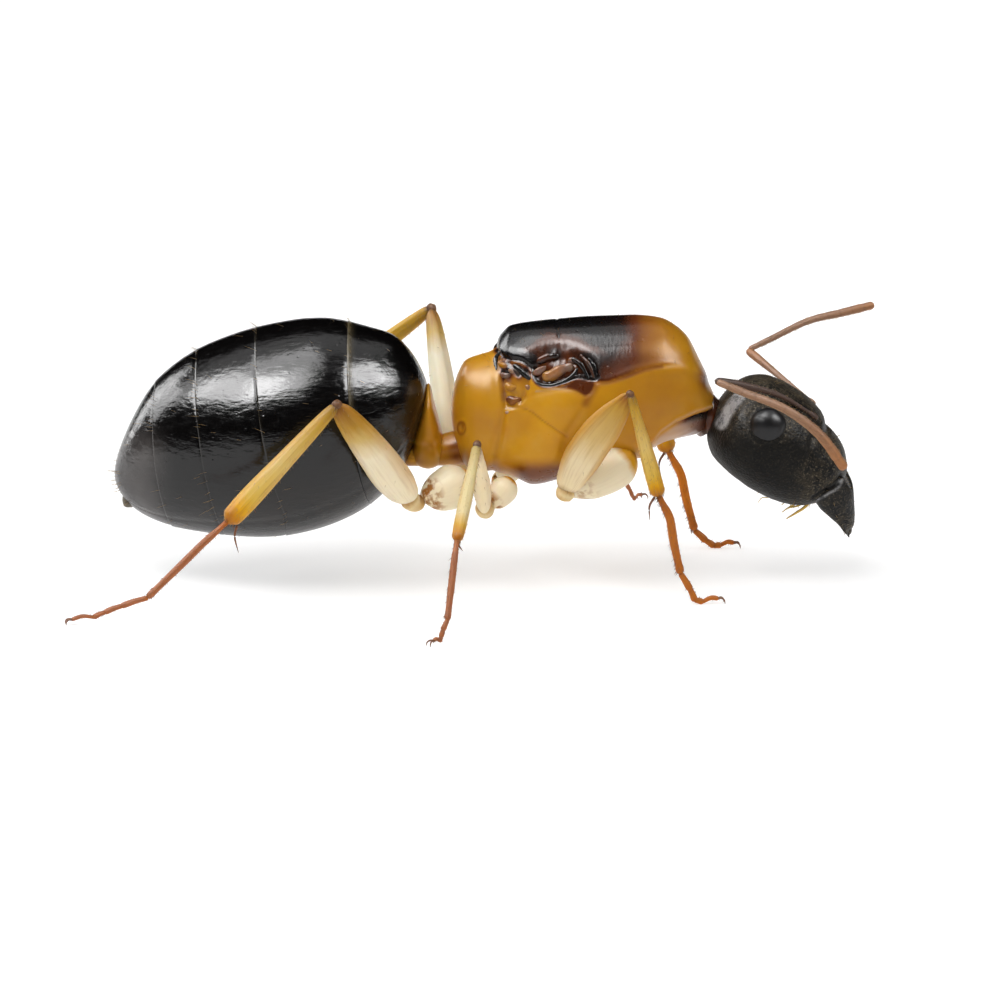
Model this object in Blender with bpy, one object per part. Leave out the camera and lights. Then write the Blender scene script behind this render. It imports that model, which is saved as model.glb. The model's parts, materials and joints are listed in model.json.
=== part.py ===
"""A queen carpenter ant that has shed her wings, standing on six feet, at life size.

The head points along +X and the back along +Z. The body's middle plane is Y = 0, the ant's right
side is at -Y, and the floor is Z = 0. Every size below is in millimetres; only mesh_object() turns
them into metres. The body's pieces are cut from whole smooth forms by thin cuts.
"""

import bmesh
import bpy
from mathutils import Matrix, Vector

MM = 0.001
CUT = 0.04  # width of the thin cuts between neighbouring pieces
THIN = 0.25  # half thickness of the thinnest limbs and feelers

BODY_SIDES = 20
BODY_RINGS = 18
LIMB_SIDES = 8
LIMB_RINGS = 7

# Side-view axes, tail to nose, as (x, z).
GASTER_AXIS = ((-7.15, 1.90), (-0.95, 4.00))
MESOSOMA_AXIS = ((-0.43, 3.29), (4.82, 3.49))
HEAD_AXIS = ((4.82, 3.44), (7.42, 2.03))
PETIOLE_AXIS = ((-0.92, 2.20), (-0.90, 3.93))

# Sections along an axis: (share of its length, height above, depth below, half width).
GASTER = (
    (0.00, 0.00, 0.00, 0.00),
    (0.06, 0.76, 0.86, 0.74),
    (0.20, 1.62, 1.50, 1.48),
    (0.40, 2.06, 2.04, 2.00),
    (0.60, 2.09, 2.18, 2.12),
    (0.80, 1.78, 1.80, 1.78),
    (0.90, 1.42, 1.18, 1.36),
    (0.96, 1.02, 0.62, 0.90),
    (1.00, 0.00, 0.00, 0.00),
)
MESOSOMA = (
    (0.00, 0.00, 0.00, 0.00),
    (0.05, 0.99, 1.08, 0.72),
    (0.12, 1.24, 1.14, 0.92),
    (0.21, 1.62, 1.24, 1.08),
    (0.30, 1.86, 1.47, 1.22),
    (0.45, 1.90, 1.27, 1.36),
    (0.70, 1.94, 0.97, 1.34),
    (0.84, 1.77, 0.66, 1.18),
    (0.94, 1.20, 0.62, 0.82),
    (1.00, 0.00, 0.00, 0.00),
)
HEAD = (
    (0.00, 0.00, 0.00, 0.00),
    (0.05, 0.58, 0.60, 0.72),
    (0.15, 0.93, 0.86, 1.22),
    (0.32, 1.10, 1.02, 1.46),
    (0.55, 1.05, 1.08, 1.44),
    (0.75, 0.82, 1.00, 1.24),
    (0.90, 0.54, 0.72, 0.96),
    (1.00, 0.00, 0.00, 0.00),
)
# The petiole stands up, so its "above" is towards the gaster and its "below" towards the head.
PETIOLE = (
    (0.00, 0.00, 0.00, 0.00),
    (0.12, 0.44, 0.46, 0.42),
    (0.30, 0.36, 0.38, 0.56),
    (0.48, 0.27, 0.26, 0.66),
    (0.75, 0.17, 0.16, 0.62),
    (1.00, 0.00, 0.00, 0.00),
)

# Cuts across the body as side-view lines, each from its low end to its high end, as (x, z).
GASTER_CUTS = (
    ((-6.03, 1.11), (-6.37, 3.88)),
    ((-4.97, 0.96), (-5.55, 4.54)),
    ((-3.75, 1.54), (-4.37, 5.01)),
    ((-2.03, 1.44), (-2.51, 5.22)),
)
PROPODEUM_CUT = ((0.42, 2.20), (0.52, 4.55))
BACK_PLATE_CUT = ((0.40, 4.42), (4.60, 4.06))
SCUTUM_CUT = ((1.62, 4.40), (1.66, 5.30))
PRONOTUM_CUT = ((1.75, 2.20), (2.60, 4.40))
CLYPEUS_CUT = ((7.22, 1.70), (7.02, 3.20))

EYE_PLACE = Vector((5.87, 1.26, 3.38))
EYE_RADII = (0.36, 0.26, 0.28)
HEAD_TILT = Matrix.Rotation(0.497, 4, "Y")

# Mandibles: hinge end, tip, and (share, radius) along the blade.
MANDIBLE = (Vector((7.02, 0.66, 2.00)), Vector((7.55, 0.20, 0.90)))
MANDIBLE_RADII = ((0.0, 0.36), (0.3, 0.45), (0.6, 0.36), (0.85, 0.23), (1.0, 0.14))
MANDIBLE_FLATNESS = 0.62

# Feelers: socket, elbow, then the points of the bent part, for the right and left sides.
ANTENNAE = {
    "right": (
        Vector((6.90, -0.62, 3.36)),
        Vector((4.88, -1.52, 4.40)),
        Vector((6.20, -1.96, 3.86)),
        Vector((7.42, -1.72, 2.56)),
    ),
    "left": (
        Vector((6.90, 0.62, 3.36)),
        Vector((5.45, 2.20, 4.20)),
        Vector((6.70, 2.70, 4.60)),
        Vector((8.05, 3.10, 4.85)),
    ),
}

# Legs, each from the body outwards: hip, trochanter, knee, ankle, the foot's bend, and its tip.
LEGS = {
    "front_right": (
        Vector((3.35, -0.72, 2.95)),
        Vector((1.92, -1.42, 2.06)),
        Vector((3.13, -2.60, 4.36)),
        Vector((3.67, -2.72, 2.22)),
        Vector((4.12, -2.62, 0.62)),
        Vector((4.90, -2.50, 0.22)),
    ),
    "front_left": (
        Vector((3.35, 0.72, 2.95)),
        Vector((1.92, 1.42, 2.06)),
        Vector((3.13, 2.60, 4.30)),
        Vector((4.05, 2.34, 2.10)),
        Vector((4.43, 2.32, 0.46)),
        Vector((5.25, 2.38, 0.22)),
    ),
    "middle_right": (
        Vector((0.84, -0.66, 2.36)),
        Vector((0.42, -1.12, 1.64)),
        Vector((0.08, -3.30, 3.44)),
        Vector((-0.33, -5.35, 1.92)),
        Vector((-0.50, -6.05, 0.50)),
        Vector((-0.80, -6.22, 0.22)),
    ),
    "middle_left": (
        Vector((0.84, 0.66, 2.36)),
        Vector((0.52, 1.12, 1.64)),
        Vector((1.90, 3.10, 3.34)),
        Vector((2.82, 4.95, 1.78)),
        Vector((3.04, 6.20, 0.50)),
        Vector((3.40, 6.70, 0.22)),
    ),
    "hind_right": (
        Vector((0.05, -0.75, 2.18)),
        Vector((-1.30, -1.15, 1.74)),
        Vector((-2.71, -3.20, 4.27)),
        Vector((-4.91, -3.92, 1.97)),
        Vector((-6.50, -4.16, 0.50)),
        Vector((-8.00, -4.36, 0.22)),
    ),
    "hind_left": (
        Vector((-0.12, 0.78, 2.22)),
        Vector((-0.47, 1.15, 1.78)),
        Vector((-0.83, 2.80, 4.87)),
        Vector((-3.13, 4.00, 2.83)),
        Vector((-4.10, 4.55, 0.62)),
        Vector((-5.50, 4.90, 0.22)),
    ),
}
LEG_PIECES = ("coxa", "femur", "tibia", "metatarsus", "tarsus")
HIP_RADIUS = {"front": 0.44, "middle": 0.35, "hind": 0.42}
THIGH_RADIUS = {"front": 0.40, "middle": 0.32, "hind": 0.36}


def paint(name, rgb, roughness):
    """A plain material in the piece's own colour."""
    material = bpy.data.materials.new(name)
    material.use_nodes = True
    shader = material.node_tree.nodes["Principled BSDF"]
    shader.inputs["Base Color"].default_value = (*rgb, 1.0)
    shader.inputs["Roughness"].default_value = roughness
    shader.inputs["Metallic"].default_value = 0.0
    return material


def clear_scene():
    for thing in list(bpy.data.objects):
        bpy.data.objects.remove(thing)


def mesh_object(name, form, material):
    """Makes an object of the shape in millimetres, scaled to metres and shaded smooth."""
    bmesh.ops.triangulate(form, faces=[f for f in form.faces if len(f.verts) > 4])
    bmesh.ops.recalc_face_normals(form, faces=form.faces)
    bmesh.ops.scale(form, vec=(MM, MM, MM), verts=form.verts)
    mesh = bpy.data.meshes.new(name)
    form.to_mesh(mesh)
    form.free()
    mesh.shade_smooth()
    mesh.set_sharp_from_angle(angle=0.8)
    made = bpy.data.objects.new(name, mesh)
    bpy.context.scene.collection.objects.link(made)
    if material:
        made.data.materials.append(material)
    return made


def cutter(name, form):
    """A helper that other pieces are cut by. It isn't a piece itself."""
    made = mesh_object(name, form, None)
    made.hide_render = True
    made.display_type = "WIRE"
    return made


def cut_away(piece, *helpers):
    for helper in helpers:
        boolean = piece.modifiers.new("clear of " + helper.name, "BOOLEAN")
        boolean.operation = "DIFFERENCE"
        boolean.solver = "EXACT"
        boolean.object = helper


def smooth_value(knots, values, at):
    """A curve through the values that never overshoots them: a monotone cubic."""
    count = len(knots)
    steps = [knots[i + 1] - knots[i] for i in range(count - 1)]
    rises = [(values[i + 1] - values[i]) / steps[i] for i in range(count - 1)]
    slopes = [rises[0]] + [0.0] * (count - 2) + [rises[-1]]
    for i in range(1, count - 1):
        if rises[i - 1] * rises[i] > 0:
            slopes[i] = 2 * rises[i - 1] * rises[i] / (rises[i - 1] + rises[i])
    i = max(k for k in range(count - 1) if at >= knots[k])
    t = (at - knots[i]) / steps[i]
    return (
        values[i] * (1 + 2 * t) * (1 - t) ** 2
        + steps[i] * slopes[i] * t * (1 - t) ** 2
        + values[i + 1] * t * t * (3 - 2 * t)
        + steps[i] * slopes[i + 1] * t * t * (t - 1)
    )


def skin_rings(form, rings, first_tip, last_tip):
    """Joins rings of points into a closed skin, with a tip at each end."""
    loops = [[form.verts.new(p) for p in ring] for ring in rings]
    tips = form.verts.new(first_tip), form.verts.new(last_tip)
    count = len(loops[0])
    for i in range(count):
        j = (i + 1) % count
        form.faces.new((tips[0], loops[0][j], loops[0][i]))
        form.faces.new((tips[1], loops[-1][i], loops[-1][j]))
        for near, far in zip(loops, loops[1:]):
            form.faces.new((near[i], near[j], far[j], far[i]))


def body_form(axis, sections, squareness=2.0, grow=0.0):
    """A smooth body on a side-view axis. The squares of the sections' sizes are joined by smooth
    curves, so that the ends come out round. grow makes it larger all over, for a cutter."""
    (x0, z0), (x1, z1) = axis
    along = Vector((x1 - x0, 0, z1 - z0))
    up = Vector((-along.z, 0, along.x)).normalized()
    reach = along.normalized() * grow
    tail, nose = Vector((x0, 0, z0)) - reach, Vector((x1, 0, z1)) + reach
    knots = [s[0] for s in sections]
    squares = [[s[k] ** 2 for s in sections] for k in (1, 2, 3)]
    turn = Matrix.Rotation(6.283185307 / BODY_SIDES, 2)
    rings = []
    for i in range(1, BODY_RINGS):
        bend = Matrix.Rotation(3.141592654 * i / BODY_RINGS, 2) @ Vector((1, 0))
        at = (1 - bend.x) / 2
        above, below, wide = (smooth_value(knots, s, at) ** 0.5 + grow for s in squares)
        ring, hand = [], Vector((1, 0))
        for _ in range(BODY_SIDES):
            share = (abs(hand.x) ** squareness + abs(hand.y) ** squareness) ** (-1 / squareness)
            height = (above if hand.y > 0 else below) * hand.y * share
            middle = tail.lerp(nose, at) + up * height
            ring.append(middle + Vector((0, wide * hand.x * share, 0)))
            hand = turn @ hand
        rings.append(ring)
    form = bmesh.new()
    skin_rings(form, rings, tail, nose)
    return form


def keep_beyond(form, point, normal):
    """Cuts the shape by a plane and keeps the part that the normal points to, closed by a flat."""
    found = bmesh.ops.bisect_plane(
        form,
        geom=form.verts[:] + form.edges[:] + form.faces[:],
        dist=1e-5,
        plane_co=point + normal.normalized() * CUT / 2,
        plane_no=normal,
        clear_inner=True,
    )
    rim = [g for g in found["geom_cut"] if isinstance(g, bmesh.types.BMEdge)]
    bmesh.ops.edgenet_fill(form, edges=rim)
    return form


def side_cut(form, line, forward):
    """Cuts across the body along a side-view line, and keeps what lies ahead of it or behind it.
    Ahead is to the right of the line as it runs."""
    (x0, z0), (x1, z1) = line
    ahead = Vector((z1 - z0, 0, x0 - x1))
    return keep_beyond(form, Vector((x0, 0, z0)), ahead if forward else -ahead)


def limb_form(start, end, radii, flatness=1.0, flat_way=None):
    """A round limb with round ends. radii holds (share of the length, radius); flatness thins it
    along flat_way."""
    along = (end - start).normalized()
    side = (flat_way or Vector((0, 0, 1))).cross(along).normalized()
    face = along.cross(side)
    knots = [share for share, _ in radii]
    values = [radius for _, radius in radii]
    first, last = values[0], values[-1]
    places = [(-0.75 * first, first, 0.6), (-0.3 * first, first, 0.93)]
    length = (end - start).length
    for i in range(LIMB_RINGS):
        share = i / (LIMB_RINGS - 1)
        places.append((share * length, smooth_value(knots, values, min(share, 0.9999)), 1.0))
    places += [(length + 0.3 * last, last, 0.93), (length + 0.75 * last, last, 0.6)]
    turn = Matrix.Rotation(6.283185307 / LIMB_SIDES, 2)
    rings = []
    for distance, radius, share in places:
        ring, hand = [], Vector((1, 0))
        for _ in range(LIMB_SIDES):
            around = side * hand.x + face * hand.y * flatness
            ring.append(start + along * distance + around * radius * share)
            hand = turn @ hand
        rings.append(ring)
    form = bmesh.new()
    skin_rings(form, rings, start - along * first * 0.97, end + along * last * 0.97)
    return form


def make_gaster(black):
    """The hind body in five rings, hindmost first in the cuts."""
    names = [f"gaster_{5 - i}" for i in range(5)]
    for i, name in enumerate(names):
        form = body_form(GASTER_AXIS, GASTER)
        if i > 0:
            side_cut(form, GASTER_CUTS[i - 1], forward=True)
        if i < len(GASTER_CUTS):
            side_cut(form, GASTER_CUTS[i], forward=False)
        mesh_object(name, form, black)


def make_mesosoma(amber, dark, head_clearance):
    """The middle body: the back's two plates, the pronotum, the flanks and the propodeum."""

    def whole():
        return body_form(MESOSOMA_AXIS, MESOSOMA, squareness=2.25)

    mesh_object("propodeum", side_cut(whole(), PROPODEUM_CUT, forward=False), amber)
    back = side_cut(side_cut(whole(), PROPODEUM_CUT, forward=True), BACK_PLATE_CUT, forward=False)
    scutellum = back.copy()
    mesh_object("mesoscutellum", side_cut(scutellum, SCUTUM_CUT, forward=False), dark)
    scutum = mesh_object("mesoscutum", side_cut(back, SCUTUM_CUT, forward=True), dark)
    lower = side_cut(side_cut(whole(), PROPODEUM_CUT, forward=True), BACK_PLATE_CUT, forward=True)
    flanks = lower.copy()
    mesh_object("mesopleura", side_cut(flanks, PRONOTUM_CUT, forward=False), amber)
    pronotum = mesh_object("pronotum", side_cut(lower, PRONOTUM_CUT, forward=True), amber)
    cut_away(pronotum, head_clearance)
    cut_away(scutum, head_clearance)


def eye_form(side, grow=0.0):
    form = bmesh.new()
    bmesh.ops.create_uvsphere(form, u_segments=12, v_segments=8, radius=1.0)
    size = Matrix.Diagonal((*(radius + grow for radius in EYE_RADII), 1.0))
    place = Matrix.Translation((EYE_PLACE.x, EYE_PLACE.y * side, EYE_PLACE.z))
    bmesh.ops.transform(form, matrix=place @ HEAD_TILT @ size, verts=form.verts)
    return form


def make_head(black, head_clearance):
    """The head capsule with its eyes, its clypeus in front, and the two jaws."""
    head = mesh_object(
        "head", side_cut(body_form(HEAD_AXIS, HEAD, squareness=2.3), CLYPEUS_CUT, forward=False), black
    )
    mesh_object(
        "clypeus", side_cut(body_form(HEAD_AXIS, HEAD, squareness=2.3), CLYPEUS_CUT, forward=True), black
    )
    for name, side in (("right", -1), ("left", 1)):
        mesh_object(f"eye_{name}", eye_form(side), black)
        cut_away(head, cutter(f"socket_{name}", eye_form(side, grow=CUT)))
        hinge, tip = (Vector((p.x, p.y * side, p.z)) for p in MANDIBLE)
        jaw = limb_form(hinge, tip, MANDIBLE_RADII, MANDIBLE_FLATNESS, Vector((0, side, 0.2)))
        keep_beyond(jaw, Vector((0, 0, 0)), Vector((0, side, 0)))
        cut_away(mesh_object(f"mandible_{name}", jaw, black), head_clearance)


def make_antennae(brown, head_clearance):
    for name, (socket, elbow, bend, tip) in ANTENNAE.items():
        even = ((0.0, THIN), (1.0, THIN))
        scape = limb_form(socket, elbow, even)
        lower, upper = limb_form(elbow, bend, even), limb_form(bend, tip, even)
        mitre(scape, lower, elbow, elbow - socket, bend - elbow)
        mitre(lower, upper, bend, bend - elbow, tip - bend)
        cut_away(mesh_object(f"scape_{name}", scape, brown), head_clearance)
        mesh_object(f"flagellum_base_{name}", lower, brown)
        mesh_object(f"flagellum_tip_{name}", upper, brown)


def mitre(near, far, joint, arriving, leaving):
    """Parts two limbs at their joint by the plane that halves the angle between them."""
    across = arriving.normalized() + leaving.normalized()
    keep_beyond(near, joint, -across)
    keep_beyond(far, joint, across)


def leg_radii(row):
    """(share, radius) along each of a leg's five lengths, from the body outwards."""
    hip, thigh = HIP_RADIUS[row], THIGH_RADIUS[row]
    return (
        ((0.0, hip * 0.95), (0.4, hip), (0.75, hip * 0.78), (1.0, THIN * 1.1)),
        ((0.0, THIN * 1.1), (0.18, thigh * 0.92), (0.4, thigh), (0.75, thigh * 0.72), (1.0, THIN * 0.8)),
        ((0.0, THIN), (0.5, THIN * 1.06), (1.0, THIN * 1.1)),
        ((0.0, THIN), (1.0, THIN)),
        ((0.0, THIN), (1.0, THIN)),
    )


def make_legs(cream, rust, body_clearance):
    for leg, points in LEGS.items():
        row = leg.split("_")[0]
        joints = list(zip(points, points[1:]))
        forms = [limb_form(a, b, radii) for (a, b), radii in zip(joints, leg_radii(row))]
        for i, joint in enumerate(points[1:-1]):
            mitre(forms[i], forms[i + 1], joint, joint - points[i], points[i + 2] - joint)
        for form in forms:
            keep_beyond(form, Vector((0, 0, -CUT / 2)), Vector((0, 0, 1)))
        for piece, form in zip(LEG_PIECES, forms):
            made = mesh_object(f"{piece}_{leg}", form, cream if piece in LEG_PIECES[:3] else rust)
            if piece == "coxa":
                cut_away(made, body_clearance)


def main():
    clear_scene()
    black = paint("black shell", (0.012, 0.011, 0.012), 0.3)
    dark = paint("dark back", (0.035, 0.018, 0.012), 0.3)
    amber = paint("amber shell", (0.55, 0.25, 0.03), 0.35)
    cream = paint("cream limb", (0.72, 0.55, 0.25), 0.4)
    rust = paint("rust foot", (0.38, 0.12, 0.035), 0.45)
    brown = paint("brown feeler", (0.32, 0.15, 0.085), 0.5)

    head_clearance = cutter("head_clearance", body_form(HEAD_AXIS, HEAD, 2.3, grow=CUT))
    body_clearance = cutter("body_clearance", body_form(MESOSOMA_AXIS, MESOSOMA, 2.25, grow=CUT))
    gaster_clearance = cutter("gaster_clearance", body_form(GASTER_AXIS, GASTER, grow=CUT))

    make_gaster(black)
    make_mesosoma(amber, dark, head_clearance)
    petiole = mesh_object("petiole", body_form(PETIOLE_AXIS, PETIOLE), amber)
    cut_away(petiole, body_clearance, gaster_clearance)
    make_head(black, head_clearance)
    make_antennae(brown, head_clearance)
    make_legs(cream, rust, body_clearance)


main()
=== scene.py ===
"""Dresses the solid model of a queen carpenter ant: her shell, feelers, limbs, hairs and a plain studio.

The frame's solids give the places: limbs run between the points where the frame's limb nodes meet. Sizes in
the tables are in millimetres, in the frame's axes, and mould() and the other makers turn them into metres.
Markings on the body are placed in a side view tipped a little from above, as (x, height) in millimetres.
"""

import json
import math

import bpy
import numpy as np
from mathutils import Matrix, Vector

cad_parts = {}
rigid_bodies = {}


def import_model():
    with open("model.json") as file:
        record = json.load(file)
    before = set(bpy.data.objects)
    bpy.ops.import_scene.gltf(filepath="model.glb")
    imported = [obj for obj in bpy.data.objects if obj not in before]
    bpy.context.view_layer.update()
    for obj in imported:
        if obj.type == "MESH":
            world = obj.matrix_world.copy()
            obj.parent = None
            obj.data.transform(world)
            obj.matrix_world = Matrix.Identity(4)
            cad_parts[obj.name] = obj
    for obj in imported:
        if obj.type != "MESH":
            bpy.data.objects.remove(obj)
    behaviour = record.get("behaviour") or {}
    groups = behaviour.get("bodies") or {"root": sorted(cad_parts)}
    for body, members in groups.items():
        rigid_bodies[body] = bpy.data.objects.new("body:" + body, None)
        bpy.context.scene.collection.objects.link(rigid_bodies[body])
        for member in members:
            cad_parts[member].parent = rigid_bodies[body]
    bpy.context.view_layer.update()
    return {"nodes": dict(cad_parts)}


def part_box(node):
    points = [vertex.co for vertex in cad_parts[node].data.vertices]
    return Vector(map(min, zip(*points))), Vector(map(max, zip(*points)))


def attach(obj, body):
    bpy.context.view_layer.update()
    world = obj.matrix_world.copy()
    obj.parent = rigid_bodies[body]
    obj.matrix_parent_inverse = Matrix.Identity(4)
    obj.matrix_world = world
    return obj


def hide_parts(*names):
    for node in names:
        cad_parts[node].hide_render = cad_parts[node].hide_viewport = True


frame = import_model()

bl_info = {
    "name": "Queen Carpenter Ant", "version": (1, 0, 0), "blender": (4, 5, 0),
    "location": "3D View > Sidebar > Ant",
    "description": "Dresses the solid model of a queen carpenter ant and sets up a studio for her",
    "category": "Object",
}

MM = 0.001
TIP_OF_VIEW = 0.231  # how far the side view is tipped: height falls by this share of the distance sideways
JOINT_REACH = 0.06  # facing cut ends of neighbouring limb nodes lie within this of their smallest gap
SHARP_BEND = 0.50  # a meeting that stands this far out from its two nodes' middle is a sharp bend
SOLID_LIMB = 0.25  # half thickness of the frame's thinnest limbs
END_REACH = 0.02  # points this near to the farthest one belong to a limb node's round end
HAIR_RANGE = (0.6, 1.15)  # the shortest and the longest hair, as shares of the length of their kind
HAIR_PATCH = 0.003  # how wide one hair's patch of the unwrap is

# The body's side-view axes, tail to nose, as (x, z), and the sections along them: share, height above the
# axis, depth below it, half width.
GASTER_AXIS = ((-7.15, 1.90), (-0.95, 4.00))
GASTER = (
    (0.00, 0.00, 0.00, 0.00),
    (0.06, 0.75, 0.86, 0.74),
    (0.20, 1.62, 1.46, 1.46),
    (0.40, 2.06, 2.00, 1.98),
    (0.60, 2.04, 2.14, 2.10),
    (0.80, 1.72, 1.76, 1.76),
    (0.90, 1.32, 1.16, 1.34),
    (0.96, 0.99, 0.60, 0.92),
    (1.00, 0.00, 0.00, 0.00),
)
# The gaster's hoops end at these side-view lines, low end then high end, from the waist to the tail.
HOOP_ENDS = (
    ((-2.03, 1.44), (-2.51, 5.22)),
    ((-3.75, 1.54), (-4.37, 5.01)),
    ((-4.97, 0.96), (-5.55, 4.54)),
    ((-6.03, 1.11), (-6.37, 3.88)),
)
HOOP_BOW = 0.16  # how far a hoop's end bows back between its low and high end
HEMS = ((0.080, 1.0), (0.034, 0.24), (0.030, 0.08), (0.030, 0.05), (0.030, 0.0))  # width and strength
HOOP_TUCK = 0.16  # how far each hoop runs in under the one ahead
CLOSING = 0.08  # the share of a hoop's rings that close it at each open end
FAR = 9.0  # a distance at which no hem and no lip shows

MESOSOMA_AXIS = ((-0.43, 3.29), (4.82, 3.49))
MESOSOMA = (
    (0.00, 0.00, 0.00, 0.00),
    (0.03, 0.82, 0.90, 0.55),
    (0.064, 1.09, 1.07, 0.77),
    (0.12, 1.19, 1.13, 0.92),
    (0.152, 1.24, 1.16, 0.98),
    (0.20, 1.60, 1.22, 1.06),
    (0.235, 1.76, 1.30, 1.11),
    (0.30, 1.82, 1.45, 1.20),
    (0.41, 1.855, 1.33, 1.31),
    (0.55, 1.875, 1.13, 1.36),
    (0.69, 1.875, 0.97, 1.33),
    (0.753, 1.85, 0.84, 1.28),
    (0.811, 1.79, 0.71, 1.21),
    (0.863, 1.63, 0.64, 1.10),
    (0.905, 1.41, 0.61, 0.96),
    (0.938, 1.05, 0.58, 0.80),
    (0.962, 0.72, 0.52, 0.62),
    (0.98, 0.42, 0.36, 0.42),
    (1.00, 0.00, 0.00, 0.00),
)

HEAD_AXIS = ((4.82, 3.44), (7.42, 2.03))
HEAD = (
    (0.00, 0.00, 0.00, 0.00),
    (0.05, 0.64, 0.60, 0.72),
    (0.14, 0.92, 0.85, 1.18),
    (0.24, 1.05, 0.95, 1.36),
    (0.35, 1.08, 1.02, 1.44),
    (0.46, 1.06, 1.06, 1.45),
    (0.58, 0.99, 1.06, 1.39),
    (0.68, 0.86, 1.03, 1.29),
    (0.74, 0.71, 0.99, 1.22),
    (0.79, 0.66, 0.94, 1.15),
    (0.88, 0.53, 0.77, 1.00),
    (0.96, 0.29, 0.48, 0.64),
    (1.00, 0.00, 0.00, 0.00),
)

PETIOLE_AXIS = ((-0.92, 2.20), (-0.90, 3.93))
PETIOLE = (
    (0.00, 0.00, 0.00, 0.00),
    (0.10, 0.30, 0.30, 0.34),
    (0.28, 0.33, 0.33, 0.52),
    (0.48, 0.27, 0.26, 0.64),
    (0.75, 0.14, 0.13, 0.58),
    (1.00, 0.00, 0.00, 0.00),
)

# Markings of the mesosoma in the tipped side view.
SCUTUM_REAR = ((1.63, 5.60), (1.65, 5.28), (1.70, 4.88))
SCUTELLUM_EDGE = ((0.20, 4.74), (0.36, 4.67), (0.53, 4.53), (0.74, 4.44), (0.96, 4.39), (1.17, 4.24))
HOLLOW = (
    (1.17, 4.58), (1.35, 4.74), (1.57, 4.81), (1.84, 4.80), (2.09, 4.70), (2.27, 4.56), (2.43, 4.39),
    (2.50, 4.14), (2.47, 3.97), (2.09, 4.02), (1.84, 3.93), (1.51, 3.85), (1.29, 3.89), (1.15, 4.12),
)
SCUTUM_SIDE = (
    (2.46, 3.94), (2.62, 3.94), (2.80, 3.98), (3.08, 4.08), (3.39, 4.20), (3.75, 4.27), (4.05, 4.29),
    (4.30, 4.23), (4.60, 4.06),
)
PROPODEUM_FRONT = (
    (0.30, 4.95), (0.43, 4.58), (0.49, 4.23), (0.55, 3.95), (0.59, 3.60), (0.58, 3.30), (0.39, 2.20),
)
FLANK_SUTURE = ((0.62, 3.42), (1.05, 3.40), (1.41, 3.16), (1.66, 2.98), (1.86, 2.84))
FLANK_TOP = ((0.95, 3.60), (1.30, 3.74), (1.85, 3.80), (2.20, 3.62))
PRONOTUM_REAR = ((2.47, 3.96), (2.24, 3.52), (1.98, 3.10), (1.82, 2.80), (1.72, 2.20))
PRONOTUM_HEM = ((3.10, 2.10), (3.50, 2.62), (3.74, 2.93), (4.05, 3.15), (4.41, 3.30), (4.90, 3.46))
SPIRACLE = (-0.22, 3.02)
FLANK_CORE = 3.6  # the height inside the mesosoma that the wing scars sink towards
FLANK_SQUARE = 2.25  # how square the mesosoma's sections are, where 2 is an ellipse
# Where a jaw meets the face.
JAW_SEAM = ((6.78, 1.60), (6.96, 1.70), (7.14, 1.80), (7.28, 1.92), (7.34, 2.06))

LEGS = ("front_right", "front_left", "middle_right", "middle_left", "hind_right", "hind_left")
FOOT_DROP = {"front": 0.42, "middle": 0.60, "hind": 0.86}  # where a foot comes down, from heel to toe


def side_of(name):
    """-1 on the ant's right, 1 on her left."""
    return -1 if name.endswith("right") else 1


# ---------------------------------------------------------------- the user's sizes and colours


def colour(name, rgb, description):
    return bpy.props.FloatVectorProperty(
        name=name, description=description, subtype="COLOR", size=3, min=0, max=1, default=rgb
    )


def millimetres(name, value, description):
    return bpy.props.FloatProperty(
        name=name, description=description, unit="LENGTH", precision=6, min=0, default=value * MM
    )


class AntColours(bpy.types.PropertyGroup):
    """The colours of the shell, limbs and hairs."""

    black: colour("Black", (0.0030, 0.0026, 0.0026), "Glossy shell of the gaster and the back")
    soot: colour("Soot", (0.0034, 0.0031, 0.0027), "Matt shell of the head and jaws")
    brown: colour("Dark brown", (0.130, 0.030, 0.004), "Where the black of the back fades")
    amber: colour("Amber", (0.63, 0.316, 0.009), "Waxy shell of the flanks and neck plate")
    burnt: colour("Burnt amber", (0.33, 0.125, 0.010), "Where the amber darkens, and the ends of limbs")
    cream: colour("Cream", (0.78, 0.65, 0.42), "Thighs")
    straw: colour("Straw", (0.62, 0.41, 0.11), "Palps under the head")
    rust: colour("Rust", (0.42, 0.125, 0.012), "Feet")
    tan: colour("Tan", (0.36, 0.20, 0.115), "Feelers")
    eye: colour("Eye", (0.006, 0.0057, 0.0066), "Compound eyes")
    gold: colour("Gold", (0.42, 0.27, 0.09), "Hairs")
    hem: colour("Hem", (0.16, 0.125, 0.06), "Pale hems of the gaster's hoops")


class AntSizes(bpy.types.PropertyGroup):
    """The sizes that change how the dressed model looks."""

    hair_length: millimetres("Hair length", 0.36, "Upright hairs of the body")
    hair_thickness: millimetres("Hair thickness", 0.0065, "Half thickness of an upright hair at its root")
    feeler: millimetres("Feeler", 0.094, "Half thickness of the bent part of a feeler")
    foot: millimetres("Foot", 0.084, "Half thickness of the long first piece of a foot")
    hoop_lip: millimetres("Hoop lip", 0.008, "How far a hoop of the gaster stands over the next")


# ---------------------------------------------------------------- curves, places and meshes


def spans(rows, column, at):
    """A column's knots, values, steps and rises, and the span between knots that each place is in."""
    knots, values = (np.array([row[k] for row in rows], float) for k in (0, column))
    steps = np.diff(knots)
    span = np.clip(np.searchsorted(knots, at, side="right") - 1, 0, len(knots) - 2)
    return knots, values, steps, np.diff(values) / steps, span


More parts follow.
